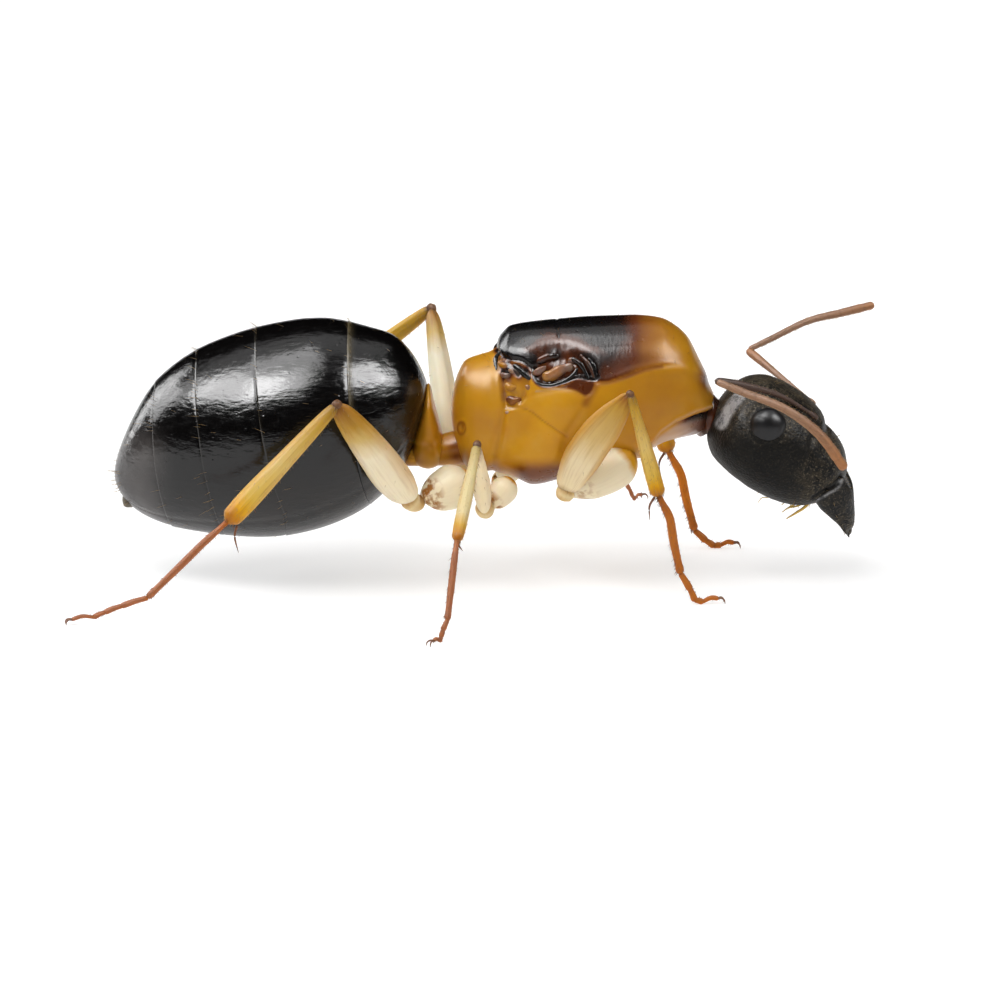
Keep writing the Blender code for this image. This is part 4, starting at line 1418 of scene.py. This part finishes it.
class ANT_OT_legs(Maker):
    """Makes the six legs: hips, thighs, shins, spurs, jointed feet and claws"""

    bl_idname = "ant.legs"
    bl_label = "Legs"

    # Radii along each piece of a leg as (share of its length, radius), and the way in which a thigh is thin.
    HIP = {
        "front": ((0, 0.38), (0.30, 0.46), (0.65, 0.40), (0.90, 0.23), (1, 0.16)),
        "middle": ((0, 0.24), (0.35, 0.28), (0.70, 0.24), (0.92, 0.15), (1, 0.12)),
        "hind": ((0, 0.40), (0.35, 0.45), (0.70, 0.38), (0.92, 0.24), (1, 0.17)),
    }
    THIGH = {
        "front": (
            (0, 0.17), (0.12, 0.29), (0.38, 0.385), (0.60, 0.37), (0.80, 0.28), (0.93, 0.17), (1, 0.11),
        ),
        "middle": ((0, 0.17), (0.12, 0.25), (0.30, 0.29), (0.60, 0.23), (0.85, 0.15), (1, 0.09)),
        "hind": (
            (0, 0.24), (0.12, 0.37), (0.26, 0.435), (0.46, 0.41), (0.70, 0.345), (0.90, 0.25), (1, 0.16),
        ),
    }
    THIGH_THIN = {
        "front_right": (0, 1, 0.1), "front_left": (0, 1, 0.1), "middle_right": (1, 0, 0.1),
        "middle_left": (1, 0, 0.1), "hind_right": (0.35, 1, 0.2), "hind_left": (1, -0.2, 0),
    }
    SHIN = {
        "front": (
            (0, 0.09), (0.06, 0.105), (0.22, 0.115), (0.50, 0.158), (0.80, 0.180), (0.95, 0.175), (1, 0.10),
        ),
        "middle": (
            (0, 0.09), (0.06, 0.105), (0.22, 0.115), (0.50, 0.150), (0.80, 0.150), (0.95, 0.130), (1, 0.08),
        ),
        "hind": (
            (0, 0.10), (0.06, 0.135), (0.20, 0.170), (0.45, 0.205), (0.80, 0.250), (0.95, 0.230), (1, 0.12),
        ),
    }
    # The share of these radii that a shin has, and the left front one, which is seen from its broad side.
    SHIN_SHARE, BROAD_SHARE = 0.88, 1.06
    HIP_REACH = 0.25  # points this near to the farthest one belong to a hip's end
    HIP_SHORTER = 0.16  # the share by which a hip is shorter than its node
    # How far a hip's end and the knuckle after it stand back from the bend between hip and thigh, and how
    # far its root is moved.
    SET_BACK = {"front": 0.06, "middle": 0.08, "hind": 0.26}
    ROOT_SHIFT = {"front": (-0.12, 0, 0.10), "middle": (0.06, 0, 0.02), "hind": (-0.05, 0, 0.0)}
    # How far a leg's bends, from hip to heel, stand from the meeting of the frame's nodes.
    BEND_SHIFTS = {
        "front_right": ((-0.14, 0, -0.05), (-0.06, 0, 0), (0.03, 0, 0), (0, 0, 0)),
        "front_left": ((0, 0, 0), (0, 0, 0), (-0.12, 0, -0.14), (0, 0, -0.10)),
        "middle_right": ((-0.21, 0, -0.07), (0, 0, 0), (0, 0, 0), (0, 0, 0)),
    }
    BOW = {"front": -0.10, "middle": 0.0, "hind": 0.03}  # how far a thigh bows along X
    KNEE = {"front": 0.070, "middle": 0.084, "hind": 0.088}  # a knee's half thickness
    # A spur's way down, its length, and how far its root stands from the ankle.
    SPUR = {
        "front": ((-0.20, 0, -1.0), 0.48, (-0.07, 0, -0.05)),
        "middle": ((0.25, 0, -1.0), 0.20, (0.06, 0, -0.05)),
        "hind": ((0.05, 0, -1.0), 0.56, (0.17, 0, -0.10)),
    }
    # How thick a foot is, in shares of the size that the user sets, and the radii along its long piece.
    SLIM = {"front": 1.0, "middle": 0.80, "hind": 0.86, "middle_left": 0.62}
    FOOT = ((0, 0.80), (0.07, 0.72), (0.22, 0.98), (0.5, 1.04), (0.86, 0.92), (0.96, 1.0), (1, 0.7))
    TOE_JOINTS = (0, 0.33, 0.55, 0.70, 1.0)  # where the joints of the toes lie along them
    TOE_SHARES = (0.82, 0.78, 0.72, 0.56)  # how thick each length of toe is, in shares of the foot
    # The paints by row of legs. A leg with a paint of its own has it under its own name.
    HIP_PAINT = {"front": "Amber and cream hip", "middle": "Cream hip", "hind": "Cream hip"}
    THIGH_PAINT = {
        "front": "Amber-edged thigh", "middle": "Cream thigh", "hind": "Streaked thigh",
        "hind_left": "Pale thigh",
    }
    SHIN_PAINT = {
        "front": "Straw shin", "middle": "Pale shin", "hind": "Straw shin", "hind_left": "Amber shin",
    }
    # The left front foot's orange paint is painted light.
    FOOT_PAINT = {
        "front": "Rust foot", "middle": "Rosy foot", "hind": "Rosy foot", "front_left": "Orange foot",
    }

    def limb_paints(self):
        """The legs' paints by name. Each row holds its stops along the limb, then how strong its brown ends,
        its streaks and its amber rims are."""
        c = bpy.context.scene.ant_colours
        knee, hip, thigh = (0.10, 0.050, 0.040), (0.80, 0.70, 0.50), (0.81, 0.71, 0.51)
        pale, rosy, lit = (0.84, 0.78, 0.60), (0.36, 0.135, 0.055), (0.60, 0.195, 0.010)
        rows = {
            "Amber and cream hip": (
                [(0, c.burnt), (0.07, c.amber), (0.13, c.amber), (0.22, hip), (1, hip)], 0.5, 0.10,
            ),
            "Cream hip": ([(0, c.burnt), (0.06, c.amber), (0.13, hip), (1, hip)], 0.95, 0.10),
            "Amber knuckle": (
                [
                    (0, (0.30, 0.115, 0.018)), (0.25, (0.58, 0.38, 0.15)), (0.6, (0.72, 0.57, 0.32)),
                    (1, (0.60, 0.38, 0.14)),
                ],
                0.4,
            ),
            "Amber-edged thigh": (
                [
                    (0, (0.42, 0.25, 0.10)), (0.10, c.cream), (0.34, c.cream), (0.58, (0.64, 0.45, 0.18)),
                    (0.88, (0.51, 0.30, 0.045)), (0.97, c.burnt), (1, knee),
                ],
                0.0, 0.42, 0.95,
            ),
            "Cream thigh": (
                [
                    (0, (0.60, 0.45, 0.25)), (0.08, c.cream), (0.80, c.cream), (0.93, (0.55, 0.40, 0.28)),
                    (1, knee),
                ],
                0.0, 0.10,
            ),
            "Streaked thigh": (
                [
                    (0, (0.48, 0.30, 0.12)), (0.06, thigh), (0.54, thigh), (0.71, (0.58, 0.40, 0.13)),
                    (0.83, (0.42, 0.23, 0.020)), (0.93, (0.32, 0.15, 0.010)), (1, (0.22, 0.08, 0.012)),
                ],
                0.0, 0.30, 0.45,
            ),
            "Pale thigh": (
                [(0, pale), (0.70, pale), (0.84, (0.62, 0.44, 0.14)), (0.95, (0.40, 0.20, 0.04)), (1, knee)],
                0.0, 0.06,
            ),
            "Brown knee": ([(0, (0.26, 0.125, 0.040)), (1, (0.10, 0.048, 0.034))], 0.0),
            "Straw shin": (
                [
                    (0, knee), (0.03, (0.34, 0.19, 0.02)), (0.16, (0.52, 0.32, 0.040)),
                    (0.50, (0.66, 0.48, 0.16)), (0.78, (0.66, 0.44, 0.075)), (0.88, (0.68, 0.36, 0.004)),
                    (0.95, (0.50, 0.20, 0.006)), (1, (0.32, 0.10, 0.006)),
                ],
                0.0, 0.60, 0.60,
            ),
            "Pale shin": (
                [
                    (0, knee), (0.04, (0.50, 0.38, 0.14)), (0.30, (0.68, 0.58, 0.31)),
                    (0.74, (0.72, 0.60, 0.32)), (0.86, (0.62, 0.36, 0.030)), (0.95, (0.50, 0.20, 0.006)),
                    (1, (0.34, 0.11, 0.008)),
                ],
                0.0, 0.35, 0.30,
            ),
            "Amber shin": (
                [(0, knee), (0.04, (0.55, 0.33, 0.04)), (0.6, (0.66, 0.40, 0.035)), (1, c.burnt)], 0.0, 0.30,
            ),
            "Rust foot": ([(0, c.rust), (0.5, (0.46, 0.15, 0.014)), (1, c.rust)], 0.0, 0.5),
            "Rosy foot": ([(0, c.rust), (0.2, rosy), (1, rosy)], 0.0, 0.5),
            # Painted light: the left front foot takes a lit, orange copy of the rust foot.
            "Orange foot": ([(0, lit), (0.6, lit), (1, c.rust)], 0.0, 0.5),
        }
        return {name: paint(limb_paint, name, *row) for name, row in rows.items()}

    def make(self, sizes):
        self.paints = self.limb_paints()
        for leg in LEGS:
            row = leg.split("_")[0]
            coxa, femur, tibia, metatarsus, tarsus = (
                f"{part}_{leg}" for part in ("coxa", "femur", "tibia", "metatarsus", "tarsus")
            )
            trochanter, knee = meeting(coxa, femur), meeting(femur, tibia)
            ankle, heel = meeting(tibia, metatarsus), meeting(metatarsus, tarsus)
            toe = far_end(tarsus, heel)
            hip = self.hip_end(coxa, trochanter) + self.ROOT_SHIFT[row]
            shifts = self.BEND_SHIFTS.get(leg, np.zeros((4, 3)))
            trochanter, knee, ankle, heel = np.add((trochanter, knee, ankle, heel), shifts)
            self.upper_leg(leg, row, hip, trochanter, knee, ankle)
            self.foot(leg, row, knee, ankle, heel, toe, sizes)

    def hip_end(self, coxa, trochanter):
        """The hip's end in the body."""
        points = points_of(coxa)
        away = np.linalg.norm(points - trochanter, axis=1)
        end = points[away > away.max() - self.HIP_REACH].mean(axis=0)
        return end + (trochanter - end) * self.HIP_SHORTER

    def upper_leg(self, leg, row, hip, trochanter, knee, ankle):
        way = unit(trochanter - hip)
        hip_tip = trochanter - way * self.SET_BACK[row]
        coxa = limb(
            f"hip_{leg}", [hip, (hip + hip_tip) / 2 + (0, 0, -0.05), hip_tip], self.HIP[row], sides=48,
            rings=54,
        )
        carve(coxa, 0.008 * ripple(read_points(coxa), 2.5, seed=len(leg)))
        dress(coxa, self.paints[self.HIP_PAINT[row]], "cream_limb", [f"coxa_{leg}"])

        thigh_way = unit(knee - trochanter)
        knuckle = limb(
            f"trochanter_{leg}",
            [hip_tip - way * 0.05, (hip_tip + trochanter) / 2 - (0, 0, 0.05), trochanter + thigh_way * 0.24],
            ((0, 0.12), (0.4, 0.19), (0.75, 0.20), (1, 0.16)), sides=32, rings=28,
        )
        dress(knuckle, self.paints["Amber knuckle"], "cream_limb")

        femur = limb(
            f"thigh_{leg}",
            [
                trochanter + thigh_way * 0.04, trochanter * 0.55 + knee * 0.45 + (self.BOW[row], 0, 0),
                knee - thigh_way * 0.02,
            ],
            self.THIGH[row], sides=56, rings=76, flatness=0.62, flat_way=self.THIGH_THIN[leg],
        )
        along, around = SKINS[f"thigh_{leg}"]
        furrow = 0.020 * bell(np.abs(np.cos(around)) - 0.55, 0.12) * smooth_step(0.25, 0.55, along)
        carve(femur, furrow + 0.005 * ripple(read_points(femur), 5.0, seed=len(leg)))
        thigh_paint = self.THIGH_PAINT.get(leg, self.THIGH_PAINT[row])
        dress(femur, self.paints[thigh_paint], "cream_limb", [f"femur_{leg}"])

        shin_way = unit(ankle - knee)
        share_of_radius = self.BROAD_SHARE if leg == "front_left" else self.SHIN_SHARE
        tibia = limb(
            f"shin_{leg}", [knee + shin_way * 0.03, knee * 0.6 + ankle * 0.4, ankle],
            [(share, radius * share_of_radius) for share, radius in self.SHIN[row]], sides=44, rings=76,
            flatness=0.95, flat_way=(0, 1, 0),
        )
        along, around = SKINS[f"shin_{leg}"]
        furrow = 0.012 * bell(np.cos(around) - 0.35, 0.16) * smooth_step(0.15, 0.35, along)
        carve(tibia, furrow * smooth_step(0.90, 0.75, along))
        shin_paint = self.SHIN_PAINT.get(leg, self.SHIN_PAINT[row])
        dress(tibia, self.paints[shin_paint], "amber_limb", [f"tibia_{leg}"])
        knob_size = self.KNEE[row]
        knob = limb(
            f"knee_{leg}", [knee - thigh_way * 0.13, knee + (0, 0, 0.01), knee + shin_way * 0.12],
            ((0, 0.85 * knob_size), (0.5, knob_size), (1, 0.8 * knob_size)), sides=28, rings=24,
        )
        dress(knob, self.paints["Brown knee"], "amber_limb")
        self.spurs(leg, row, ankle, shin_way)

    def spurs(self, leg, row, ankle, shin_way):
        way, length, shift = self.SPUR[row]
        drop = np.array(way) * length
        root = ankle - shin_way * 0.06 + shift
        curl = np.array((-0.06, 0, 0.02))
        spur = limb(
            f"spur_{leg}", [root, root + drop * 0.45 + curl, root + drop],
            ((0, 0.028), (0.5, 0.019), (1, 0.005)), sides=10, rings=24,
        )
        dress(spur, paint(bristle_paint), "rust_foot")

    def foot(self, leg, row, knee, ankle, heel, toe, sizes):
        thick = sizes.foot / MM
        shin_way = unit(ankle - knee)
        bulge = np.array((0.09, 0, 0.02)) if row == "front" else np.array((0.0, 0, 0.03))
        slim = self.SLIM.get(leg, self.SLIM[row])
        long_piece = limb(
            f"foot_long_{leg}",
            [
                ankle - shin_way * 0.05, ankle * 0.88 + heel * 0.12 + bulge * 0.5,
                ankle * 0.70 + heel * 0.30 + bulge, ankle * 0.4 + heel * 0.6 + bulge * 0.4, heel,
            ],
            [(share, thick * slim * part) for share, part in self.FOOT], sides=28, rings=64,
        )
        foot_paint = self.FOOT_PAINT.get(leg, self.FOOT_PAINT[row])
        dress(long_piece, self.paints[foot_paint], "rust_foot", [f"metatarsus_{leg}"])

        low = thick * 0.62
        ground = heel + (toe - heel) * FOOT_DROP[row]
        ground[2] = low
        end = toe.copy()
        end[2] = low + 0.05
        line = curve_through([heel, (heel + ground) / 2 + (0, 0, 0.03), ground, end], steps=12)
        runs = np.concatenate([[0], np.cumsum(np.linalg.norm(np.diff(line, axis=0), axis=1))])
        joints = [
            np.array([np.interp(part * runs[-1], runs, line[:, k]) for k in range(3)])
            for part in self.TOE_JOINTS
        ]
        for number, (start, stop) in enumerate(zip(joints, joints[1:])):
            last = number == len(self.TOE_SHARES) - 1
            full = thick * slim * self.TOE_SHARES[number]
            rise = np.array((0, 0, 0.05 if last else 0.012))
            overlap = unit(stop - start) * full * 0.45
            segment = limb(
                f"toe_{number + 1}_{leg}",
                [start - overlap, (start + stop) / 2 + rise, stop if last else stop + overlap],
                ((0, full * 0.86), (0.3, full * 0.92), (0.78, full * 1.06), (1, full * 0.88)), sides=20,
                rings=30,
            )
            points = read_points(segment)
            points[:, 2] = np.maximum(points[:, 2], 0.0)
            write_points(segment, points)
            replaced = [f"tarsus_{leg}"] if number == 0 else ()
            dress(segment, self.paints[self.FOOT_PAINT[row]], "rust_foot", replaced)
        self.claws(leg, joints[-2], joints[-1])

    def claws(self, leg, before, tip):
        way = unit((tip - before) * (1, 1, 0))
        across = np.cross((0, 0, 1), way)
        for side, word in ((-1, "outer"), (1, "inner")):
            claw = limb(
                f"claw_{word}_{leg}",
                [
                    tip - way * 0.04, tip + way * 0.05 + across * 0.04 * side + (0, 0, 0.015),
                    tip + way * 0.10 + across * 0.07 * side - (0, 0, 0.03),
                    tip * (1, 1, 0) + way * 0.11 + across * 0.08 * side + (0, 0, 0.006),
                ],
                ((0, 0.026), (0.5, 0.019), (1, 0.005)), sides=10, rings=20,
            )
            dress(claw, paint(bristle_paint), "rust_foot")


def by_hem(piece, points, normals):
    """Where hairs grow along a hoop's rear edge. This and the next few are chances for roots_on()."""
    edge = np.empty(len(points), np.float32)
    piece.data.attributes["edge"].data.foreach_get("value", edge)
    shown = (SKINS[piece.name][0] > CLOSING + 0.005).astype(float)
    return shown * smooth_step(0.55, 0.95, edge) * smooth_step(-0.9, 0.3, normals[:, 2] + 0.3)


def between(low, high):
    return lambda piece, *_: ((SKINS[piece.name][0] > low) & (SKINS[piece.name][0] < high)).astype(float)


everywhere = between(0.06, 0.97)


def on_top(piece, points, normals):
    return smooth_step(0.2, 0.8, normals[:, 2])


def below(piece, points, normals):
    return smooth_step(-0.1, -0.7, normals[:, 2])


def throat(piece, points, normals):
    return below(piece, points, normals) * smooth_step(5.4, 6.4, points[:, 0])


def hindward(piece, points, normals):
    return smooth_step(0.0, -0.8, normals[:, 0]) * everywhere(piece)


def off_floor(piece, points, normals):
    return everywhere(piece) * (points[:, 2] > 0.05)


class ANT_OT_hairs(Maker):
    """Grows the upright golden hairs of the body and the bristles of the limbs"""

    bl_idname = "ant.hairs"
    bl_label = "Hairs"

    FIRST_SEED = 51  # each kind of hair takes two seeds: one for its roots and one for its shapes

    def make(self, sizes):
        long, thin = sizes.hair_length / MM, sizes.hair_thickness / MM
        gold, brown = paint(hair_paint), paint(bristle_paint)
        slots = ("black_shell", "amber_shell", "brown_feeler", "amber_limb", "cream_limb")
        dark, amber, feeler, shin, thigh = ((gold, slot) for slot in slots)
        stiff, foot = (brown, "amber_limb"), (brown, "rust_foot")
        hoops = [f"gaster_hoop_{n + 1}" for n in range(5)]
        hems = dict(zip(hoops, (26, 30, 46, 24)))  # each hoop that has a hem, with its hairs
        back, head, chin = ["mesosoma_shell"], ["head_shell"], ["head_shell", "mouth_parts"]
        pairs = ("jaw", "feeler_whip", "feeler_stalk")
        jaws, whips, stalks = ([f"{part}_right", f"{part}_left"] for part in pairs)
        rows = ("shin", "thigh", "foot_long")
        shins, thighs, feet = ([f"{part}_{leg}" for leg in LEGS] for part in rows)
        toes = [f"toe_{n}_{leg}" for leg in LEGS for n in (1, 2, 3, 4)]
        bristly = {name: 40 if "front" in name else 12 for name in feet}
        amid, tail, down = between(0.10, 0.88), between(-1, 0.35), (0, 0, -0.9)
        # Name, pieces, hairs on each, where on them, the way they lie, length, half thickness, curl, paint
        # and slot, and how far their ways spread where that isn't the usual.
        kinds = (
            ("gaster_hem_hairs", hems, hems, by_hem, (-0.9, 0, 0.05), long * 0.55, thin * 0.5, 0.3, dark),
            ("gaster_hairs", hoops, 18, amid, (-1.1, 0, 0.05), long * 0.40, thin * 0.5, 0.3, dark),
            ("gaster_tail_hairs", hoops[4:], 30, tail, (-0.8, 0, -0.2), long * 0.45, thin * 0.7, 0.3, dark),
            ("mesosoma_hairs", back, 50, on_top, (-0.4, 0, 0), long * 0.28, thin * 0.6, 0.2, amber),
            ("head_hairs", head, 90, on_top, (0.5, 0, 0), long * 0.26, thin * 0.6, 0.3, dark),
            ("throat_hairs", chin, 16, throat, (-0.35, 0, -0.2), long * 0.6, thin * 0.8, 0.3, dark),
            ("jaw_hairs", jaws, 40, everywhere, (0.3, 0, -0.7), long * 0.22, thin * 0.6, 0.3, dark),
            ("feeler_down", whips, 600, everywhere, (1.8, 0, -0.3), 0.040, 0.0028, 0.1, feeler),
            ("feeler_stalk_hairs", stalks, 50, everywhere, (-1.4, 0, 0.1), 0.06, 0.004, 0.1, feeler),
            ("shin_down", shins, 220, everywhere, (0, 0, -1.6), 0.060, 0.004, 0.1, shin),
            ("shin_bristles", shins, 12, below, down, 0.10, 0.007, 0.1, stiff, 0.15),
            ("thigh_hairs", thighs, 30, everywhere, down, 0.07, 0.004, 0.2, thigh),
            ("foot_bristles", feet, bristly, hindward, (-0.3, 0, -1.2), 0.085, 0.007, 0.1, foot, 0.12),
            ("foot_down", feet, 150, everywhere, (0, 0, -1.6), 0.045, 0.004, 0.1, foot),
            ("toe_bristles", toes, 12, off_floor, (0, 0, -0.2), 0.05, 0.005, 0.2, foot),
        )
        for number, (name, pieces, count, chance, *shape) in enumerate(kinds):
            seed = self.FIRST_SEED + 2 * number
            plant(name, roots_on(pieces, count, chance, seed), seed + 1, *shape)


class ANT_OT_stage(Maker):
    """Sets up the pale floor, the soft lights and the camera"""

    bl_idname = "ant.stage"
    bl_label = "Stage"

    ELEVATION = math.radians(13)
    AIM = (0.53, 0.0, 1.54)
    FIELD = 20.0  # how wide the camera sees at the ant, in millimetres
    DISTANCE = 600.0
    SENSOR = 36
    FLOOR = 1.6  # in metres
    # (name, turn, rise, distance, width, depth, glow, whether it lights, whether it leaves a highlight)
    SOFTBOXES = (
        ("overhead softbox", 0, 88, 260, 330, 260, 0.75, True, False),
        ("key softbox", -48, 60, 260, 300, 120, 4.7, True, False),
        ("front fill", 8, 22, 330, 300, 160, 0.8, True, False),
        ("back fill", 180, 35, 330, 300, 160, 1.1, True, False),
        ("right softbox", 78, 33, 250, 90, 62, 7.5, True, True),
        ("rear left softbox", -112, 26, 260, 130, 90, 6.0, True, True),
        ("key sheen", -60, 52, 250, 200, 120, 12.5, False, True),
        ("key sheen right", -26, 59, 250, 120, 110, 8.0, False, True),
        ("key sheen left", -98, 42, 250, 120, 100, 3.0, False, True),
        ("top sheen", -70, 79, 260, 150, 115, 5.2, False, True),
        ("back sheen", 180, 72, 260, 330, 170, 0.95, False, True),
        ("nape sheen", -133, 19, 250, 70, 150, 5.0, False, True),
        ("shoulder sheen", 68, 48, 250, 120, 110, 14.0, False, True),
    )

    def make(self, sizes):
        bpy.ops.object.select_all(action="DESELECT")
        bpy.ops.mesh.primitive_plane_add(size=self.FLOOR)
        floor = bpy.context.object
        floor.name = "floor"
        floor.data.materials.append(paint(floor_paint))

        aim = Vector(self.AIM) * MM
        back = Vector((0, -math.cos(self.ELEVATION), math.sin(self.ELEVATION)))
        data = bpy.data.cameras.new("camera")
        data.sensor_width = self.SENSOR
        data.lens = self.SENSOR * self.DISTANCE / self.FIELD
        data.clip_start, data.clip_end = 0.05, 5
        camera = bpy.data.objects.new("camera", data)
        bpy.context.scene.collection.objects.link(camera)
        camera.location = aim + back * self.DISTANCE * MM
        camera.rotation_euler = back.to_track_quat("Z", "Y").to_euler()
        bpy.context.scene.camera = camera

        for lamp in self.SOFTBOXES:
            self.softbox(*lamp)
        world = bpy.context.scene.world or bpy.data.worlds.new("World")
        bpy.context.scene.world = world
        world.use_nodes = True
        for name, value in (("Color", (1, 1, 1, 1)), ("Strength", 1.0)):
            world.node_tree.nodes["Background"].inputs[name].default_value = value
        world.cycles_visibility.diffuse = False
        world.cycles_visibility.glossy = False
        bpy.context.scene.view_settings.view_transform = "Standard"
        bpy.context.scene.view_settings.gamma = 0.92

    def softbox(self, name, turn, rise, distance, width, depth, glow, lights, shows):
        """A soft lamp seen from the ant at that turn from the camera's side and that rise, in degrees, which
        lights the ant, leaves a highlight on her, or both."""
        turn, rise = math.radians(turn), math.radians(rise)
        way = Vector((math.sin(turn) * math.cos(rise), -math.cos(turn) * math.cos(rise), math.sin(rise)))
        data = bpy.data.lights.new(name, "AREA")
        data.shape = "RECTANGLE"
        data.size, data.size_y = width * MM, depth * MM
        data.energy = glow * math.pi * data.size * data.size_y
        lamp = bpy.data.objects.new(name, data)
        bpy.context.scene.collection.objects.link(lamp)
        lamp.location = Vector(self.AIM) * MM + way * distance * MM
        lamp.rotation_euler = way.to_track_quat("Z", "Y").to_euler()
        lamp.visible_diffuse = lights
        lamp.visible_glossy = shows


class ANT_PT_panel(bpy.types.Panel):
    """Lists the ant's pieces, sizes and colours"""

    bl_idname = "ANT_PT_panel"
    bl_label = "Queen Carpenter Ant"
    bl_space_type = "VIEW_3D"
    bl_region_type = "UI"
    bl_category = "Ant"

    def draw(self, context):
        for maker in MAKERS:
            self.layout.operator(maker.bl_idname)
        for group in (context.scene.ant_sizes, context.scene.ant_colours):
            for name in group.__annotations__:
                self.layout.prop(group, name)


MAKERS = (
    ANT_OT_gaster,
    ANT_OT_waist,
    ANT_OT_mesosoma,
    ANT_OT_wing_roots,
    ANT_OT_head,
    ANT_OT_jaws,
    ANT_OT_feelers,
    ANT_OT_legs,
    ANT_OT_hairs,
    ANT_OT_stage,
)
CLASSES = (AntColours, AntSizes, *MAKERS, ANT_PT_panel)


def register():
    for each in CLASSES:
        bpy.utils.register_class(each)
    bpy.types.Scene.ant_colours = bpy.props.PointerProperty(type=AntColours)
    bpy.types.Scene.ant_sizes = bpy.props.PointerProperty(type=AntSizes)


def unregister():
    del bpy.types.Scene.ant_sizes
    del bpy.types.Scene.ant_colours
    for each in reversed(CLASSES):
        bpy.utils.unregister_class(each)


def main():
    register()
    for maker in MAKERS:
        group, name = maker.bl_idname.split(".")
        getattr(getattr(bpy.ops, group), name)()


if __name__ == "__main__":
    main()
